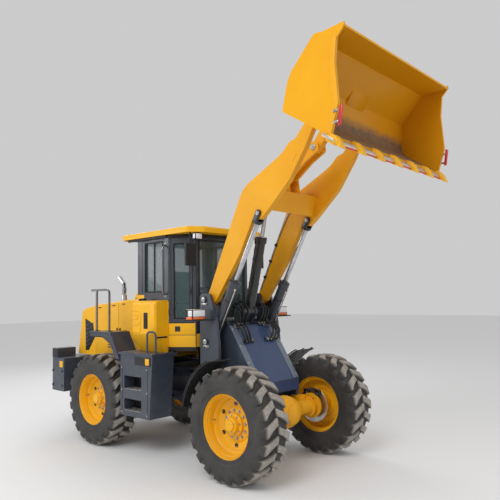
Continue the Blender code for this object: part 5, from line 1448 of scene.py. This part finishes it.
def dressBoom():
    arm, armHalf = boomSettings["arm"], boomSettings["armHalf"]
    for word, side in sides:
        title = word.title()
        caps = [pinCap("cap", boomSettings["bucketPin"], side * 0.5352, side, 0.042),
                pinCap("cap", boomSettings["bucketPin"], side * (arm - 0.0852), -side, 0.042),
                pinCap("cap", boomSettings["bucketLinkPin"], side * 0.0747, side, 0.036)]
        grouped(f"bucketPinCaps{title}", caps, "zincSteel", "bucket")
        finished(pinCap(f"linkPinCap{title}", boomSettings["linkPin"], side * 0.0747, side, 0.036),
            "zincSteel", "rocker")
        finished(pinCap(f"tiltEyeCap{title}", boomSettings["tiltEye"], side * 0.0747, side, 0.034),
            "zincSteel", "rocker")
        finished(pinCap(f"rockerPinCap{title}", boomSettings["rockerPin"], side * 0.1217, side,
            0.032, 0.008), "zincSteel", "boom")
        finished(pinCap(f"tiltBaseCap{title}", boomSettings["tiltBase"], side * 0.0852, side,
            0.034), "zincSteel", "front_frame")
        inner = side * (arm - armHalf - 0.011)
        line = [(-0.69, inner, 2.035), (-0.33, inner, 2.76), (-0.205, inner, 2.965),
            (-0.085, inner, 3.09), (0.03, inner, 3.075)]
        lines = [painted(pipe("boomLine", line, 0.0085, 0.05), "tubeSteel")]
        for share in (0.22, 0.5, 0.78):
            spot = Vector(line[0]).lerp(Vector(line[1]), share)
            lines.append(painted(block(
                "boomClamp", (spot.x - 0.018, side * (arm - armHalf), spot.z - 0.018),
                (spot.x + 0.018, side * (arm - armHalf - 0.022), spot.z + 0.018), 0.004),
                "blackPlastic"))
        grouped(f"boomLines{title}", lines, "tubeSteel", "boom")
        bead = [
            pipe("weld", [(0.017 - 0.006, side * (arm - armHalf - 0.002), 2.973),
                (0.107, side * (arm - armHalf - 0.002), 3.203),
                          (0.282, side * (arm - armHalf - 0.002), 3.131)], 0.0055, 0),
            pipe("weld", [(0.012, side * (arm - armHalf - 0.002), 2.97),
                (0.187, side * (arm - armHalf - 0.002), 2.898),
                          (0.282, side * (arm - armHalf - 0.002), 3.129)], 0.0055, 0),
        ]
        grouped(f"crossWelds{title}", bead, "armPaint", "boom")
        label = sidePlate(f"armPlate{title}", [(0.6, 3.36), (0.665, 3.44), (0.635, 3.475),
            (0.565, 3.395)],
                          side * (arm + armHalf), side * 0.0025, 0.001)
        finished(label, "armPaint", "boom")
        dressLiftCylinder(word, side)
    dressTiltCylinder()
    print("boom dressed")


def dressLiftCylinder(word, side):
    title = word.title()
    base, eye, y = boomSettings["liftBase"], boomSettings["liftEye"], side * boomSettings["arm"]
    gap = boomSettings["armHalf"] + 0.0006

    def spot(reach, offset=0.0, shift=0.0):
        x, z = onLine(base, eye, reach, offset)
        return (x, y + shift, z)

    hard = side * 0.026
    line = painted(pipe("hardLine", [spot(0.15, 0.05, hard), spot(0.15, 0.068, hard),
        spot(0.735, 0.068, hard), spot(0.735, 0.05, hard)],
                        0.0075, 0.02), "zincSteel")
    pieces = [line]
    for reach in (0.3, 0.56):
        pieces.append(painted(turned(
            "barrelBand", [(0.0575, -0.01), (0.0612, -0.01), (0.0612, 0.01), (0.0575, 0.01)],
            spot(reach),
            Vector(spot(1)) - Vector(spot(0)), 36), "blackEnamel"))
    for reach in (0.135, 0.72):
        pieces.append(painted(rodBetween("port", spot(reach, 0.05, hard), spot(reach, 0.072, hard),
            0.013, 6, 0.002), "zincSteel"))
    pieces.append(painted(turned(
        "glandRing", [(0.034, 0.0), (0.058, 0.0), (0.06, 0.004), (0.058, 0.01), (0.034, 0.01)],
        spot(0.8035),
        Vector(spot(1)) - Vector(spot(0)), 36), "blackEnamel"))
    grouped(f"liftBarrelTrim{title}", pieces, "zincSteel", f"lift_barrel_{word}")
    x, z = onLine(eye, base, 0.878)
    x2, z2 = onLine(eye, base, 0.105)
    shaft = painted(rodBetween("liftShaft", (x, y, z), (x2, y, z2), boomSettings["rod"], 32, 0.002),
        "chromeRod")
    x, z = onLine(eye, base, 0.126)
    x2, z2 = onLine(eye, base, 0.0862)
    clevis = [shaft, painted(rodBetween("clevisBody", (x, y, z), (x2, y, z2), 0.047, 28, 0.006),
        "blackEnamel")]
    turn = Vector(onLine(eye, base, 1.0)) - Vector(eye)
    wide = Vector((turn.y, -turn.x))
    for away in (-1, 1):
        outline = []
        for step in range(13):
            angle = math.pi * step / 12
            outline.append(Vector(eye) + wide * 0.04 * math.cos(angle) - turn * 0.04 * math.sin(angle))
        outline += [Vector(eye) + turn * 0.12 - wide * 0.032, Vector(eye) + turn * 0.12 + wide * 0.032]
        clevis.append(painted(sidePlate("clevisCheek", [tuple(point) for point in outline],
            y + away * gap, away * 0.022, 0.003), "blackEnamel"))
        clevis.append(painted(pinCap("clevisPin", eye, y + away * (gap + 0.022), away, 0.026,
            0.008), "zincSteel"))
    made = grouped(f"liftRodClevis{title}", clevis, "chromeRod", f"lift_rod_{word}")
    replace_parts(made, f"lift_rod_{word}")


def dressTiltCylinder():
    base, eye = boomSettings["tiltBase"], boomSettings["tiltEye"]

    def spot(reach, offset=0.0, y=0.0):
        x, z = onLine(base, eye, reach, offset)
        return (x, y, z)

    way = Vector(spot(1)) - Vector(spot(0))
    pieces = [
        painted(pipe("tiltLine", [spot(0.15, -0.056), spot(0.15, -0.073), spot(0.86, -0.073),
            spot(0.86, -0.056)], 0.0075, 0.02), "tubeSteel"),
        painted(turned("tiltGland", [(0.036, 0.0), (0.066, 0.0), (0.068, 0.005), (0.066, 0.012),
            (0.036, 0.012)], spot(0.9295), way, 36), "zincSteel"),
    ]
    for reach in (0.35, 0.65):
        pieces.append(painted(turned("tiltBand",
            [(0.0615, -0.01), (0.065, -0.01), (0.065, 0.01), (0.0615, 0.01)], spot(reach), way, 36),
            "blackEnamel"))
    for reach in (0.14, 0.87):
        pieces.append(painted(rodBetween("tiltPort", spot(reach, -0.054), spot(reach, -0.08), 0.013,
            6, 0.002), "zincSteel"))
    grouped("tiltBarrelTrim", pieces, "zincSteel", "tilt_barrel")
    x, z = onLine(eye, base, 0.125)
    x2, z2 = onLine(eye, base, 0.05)
    sleeve = rodBetween("tiltRodSleeve", (x, 0, z), (x2, 0, z2), 0.0375, 28, 0.004)
    finished(sleeve, "blackEnamel", "tilt_rod")


def dressAxles():
    for end, x in wheelCentres.items():
        body = "front_frame" if end == "front" else "rear_frame"
        for word, side in sides:
            title = end.title() + word.title()
            disc = turned("brakeDisc", [(0.098, 0.0), (0.205, 0.0), (0.208, 0.003), (0.205, 0.012),
                (0.098, 0.012)],
                          (x, side * 0.566, axleZ), (0, side, 0), 56)
            finished(disc, "zincSteel", f"wheel_{end}_{word}")
            disc.name = f"brakeDisc{title}"
            calipers = []
            for turn in (62, 118):
                spot = Vector((math.cos(math.radians(turn)), 0, math.sin(math.radians(turn)))) * 0.178
                one = block("caliper", (x + spot.x - 0.042, side * 0.53, axleZ + spot.z - 0.034),
                            (x + spot.x + 0.042, side * 0.5625, axleZ + spot.z + 0.034), 0.01, 3)
                arm = rodBetween("caliperArm", (x + spot.x * 0.4, side * 0.515, axleZ + spot.z * 0.4),
                                 (x + spot.x, side * 0.54, axleZ + spot.z), 0.022, 14)
                calipers += [one, arm]
            grouped(f"brakeCalipers{title}", calipers, "blackEnamel", body)
            flange = turned("axleFlange", [(0.084, -0.008), (0.122, -0.008), (0.122, 0.008),
                (0.084, 0.008)],
                            (x, side * 0.445, axleZ), (0, side, 0), 40)
            heads = [flange]
            for number in range(12):
                angle = math.tau * number / 12
                heads.append(bolt("flangeBolt", (x + 0.106 * math.cos(angle), side * 0.453,
                    axleZ + 0.106 * math.sin(angle)), (0, side, 0), 0.008, 0.007))
            grouped(f"axleFlange{title}", heads, "armPaint", body)
        cover = [turned("gearCover", [(0.0, -0.02), (0.118, -0.02), (0.118, 0.004), (0.104, 0.01),
            (0.07, 0.03), (0.0, 0.038)],
                        (x + 0.155, 0, axleZ), (1, 0, 0), 40)]
        for number in range(10):
            angle = math.tau * number / 10
            cover.append(bolt("coverBolt", (x + 0.158, 0.108 * math.cos(angle),
                axleZ + 0.108 * math.sin(angle)), (1, 0, 0), 0.007, 0.007))
        grouped(f"gearCover{end.title()}", cover, "armPaint", body)
    print("axles dressed")


finishes = makeFinishes()
placeCamera()
placeLightsAndFloor()
finishFrame()
print("frame finished")
buildWheels()
dressBucket()
buildCuttingEdge()
dressHood()
dressWeight()
dressSides()
dressCab()
buildSeat()
dressFront()
dressBoom()
dressAxles()
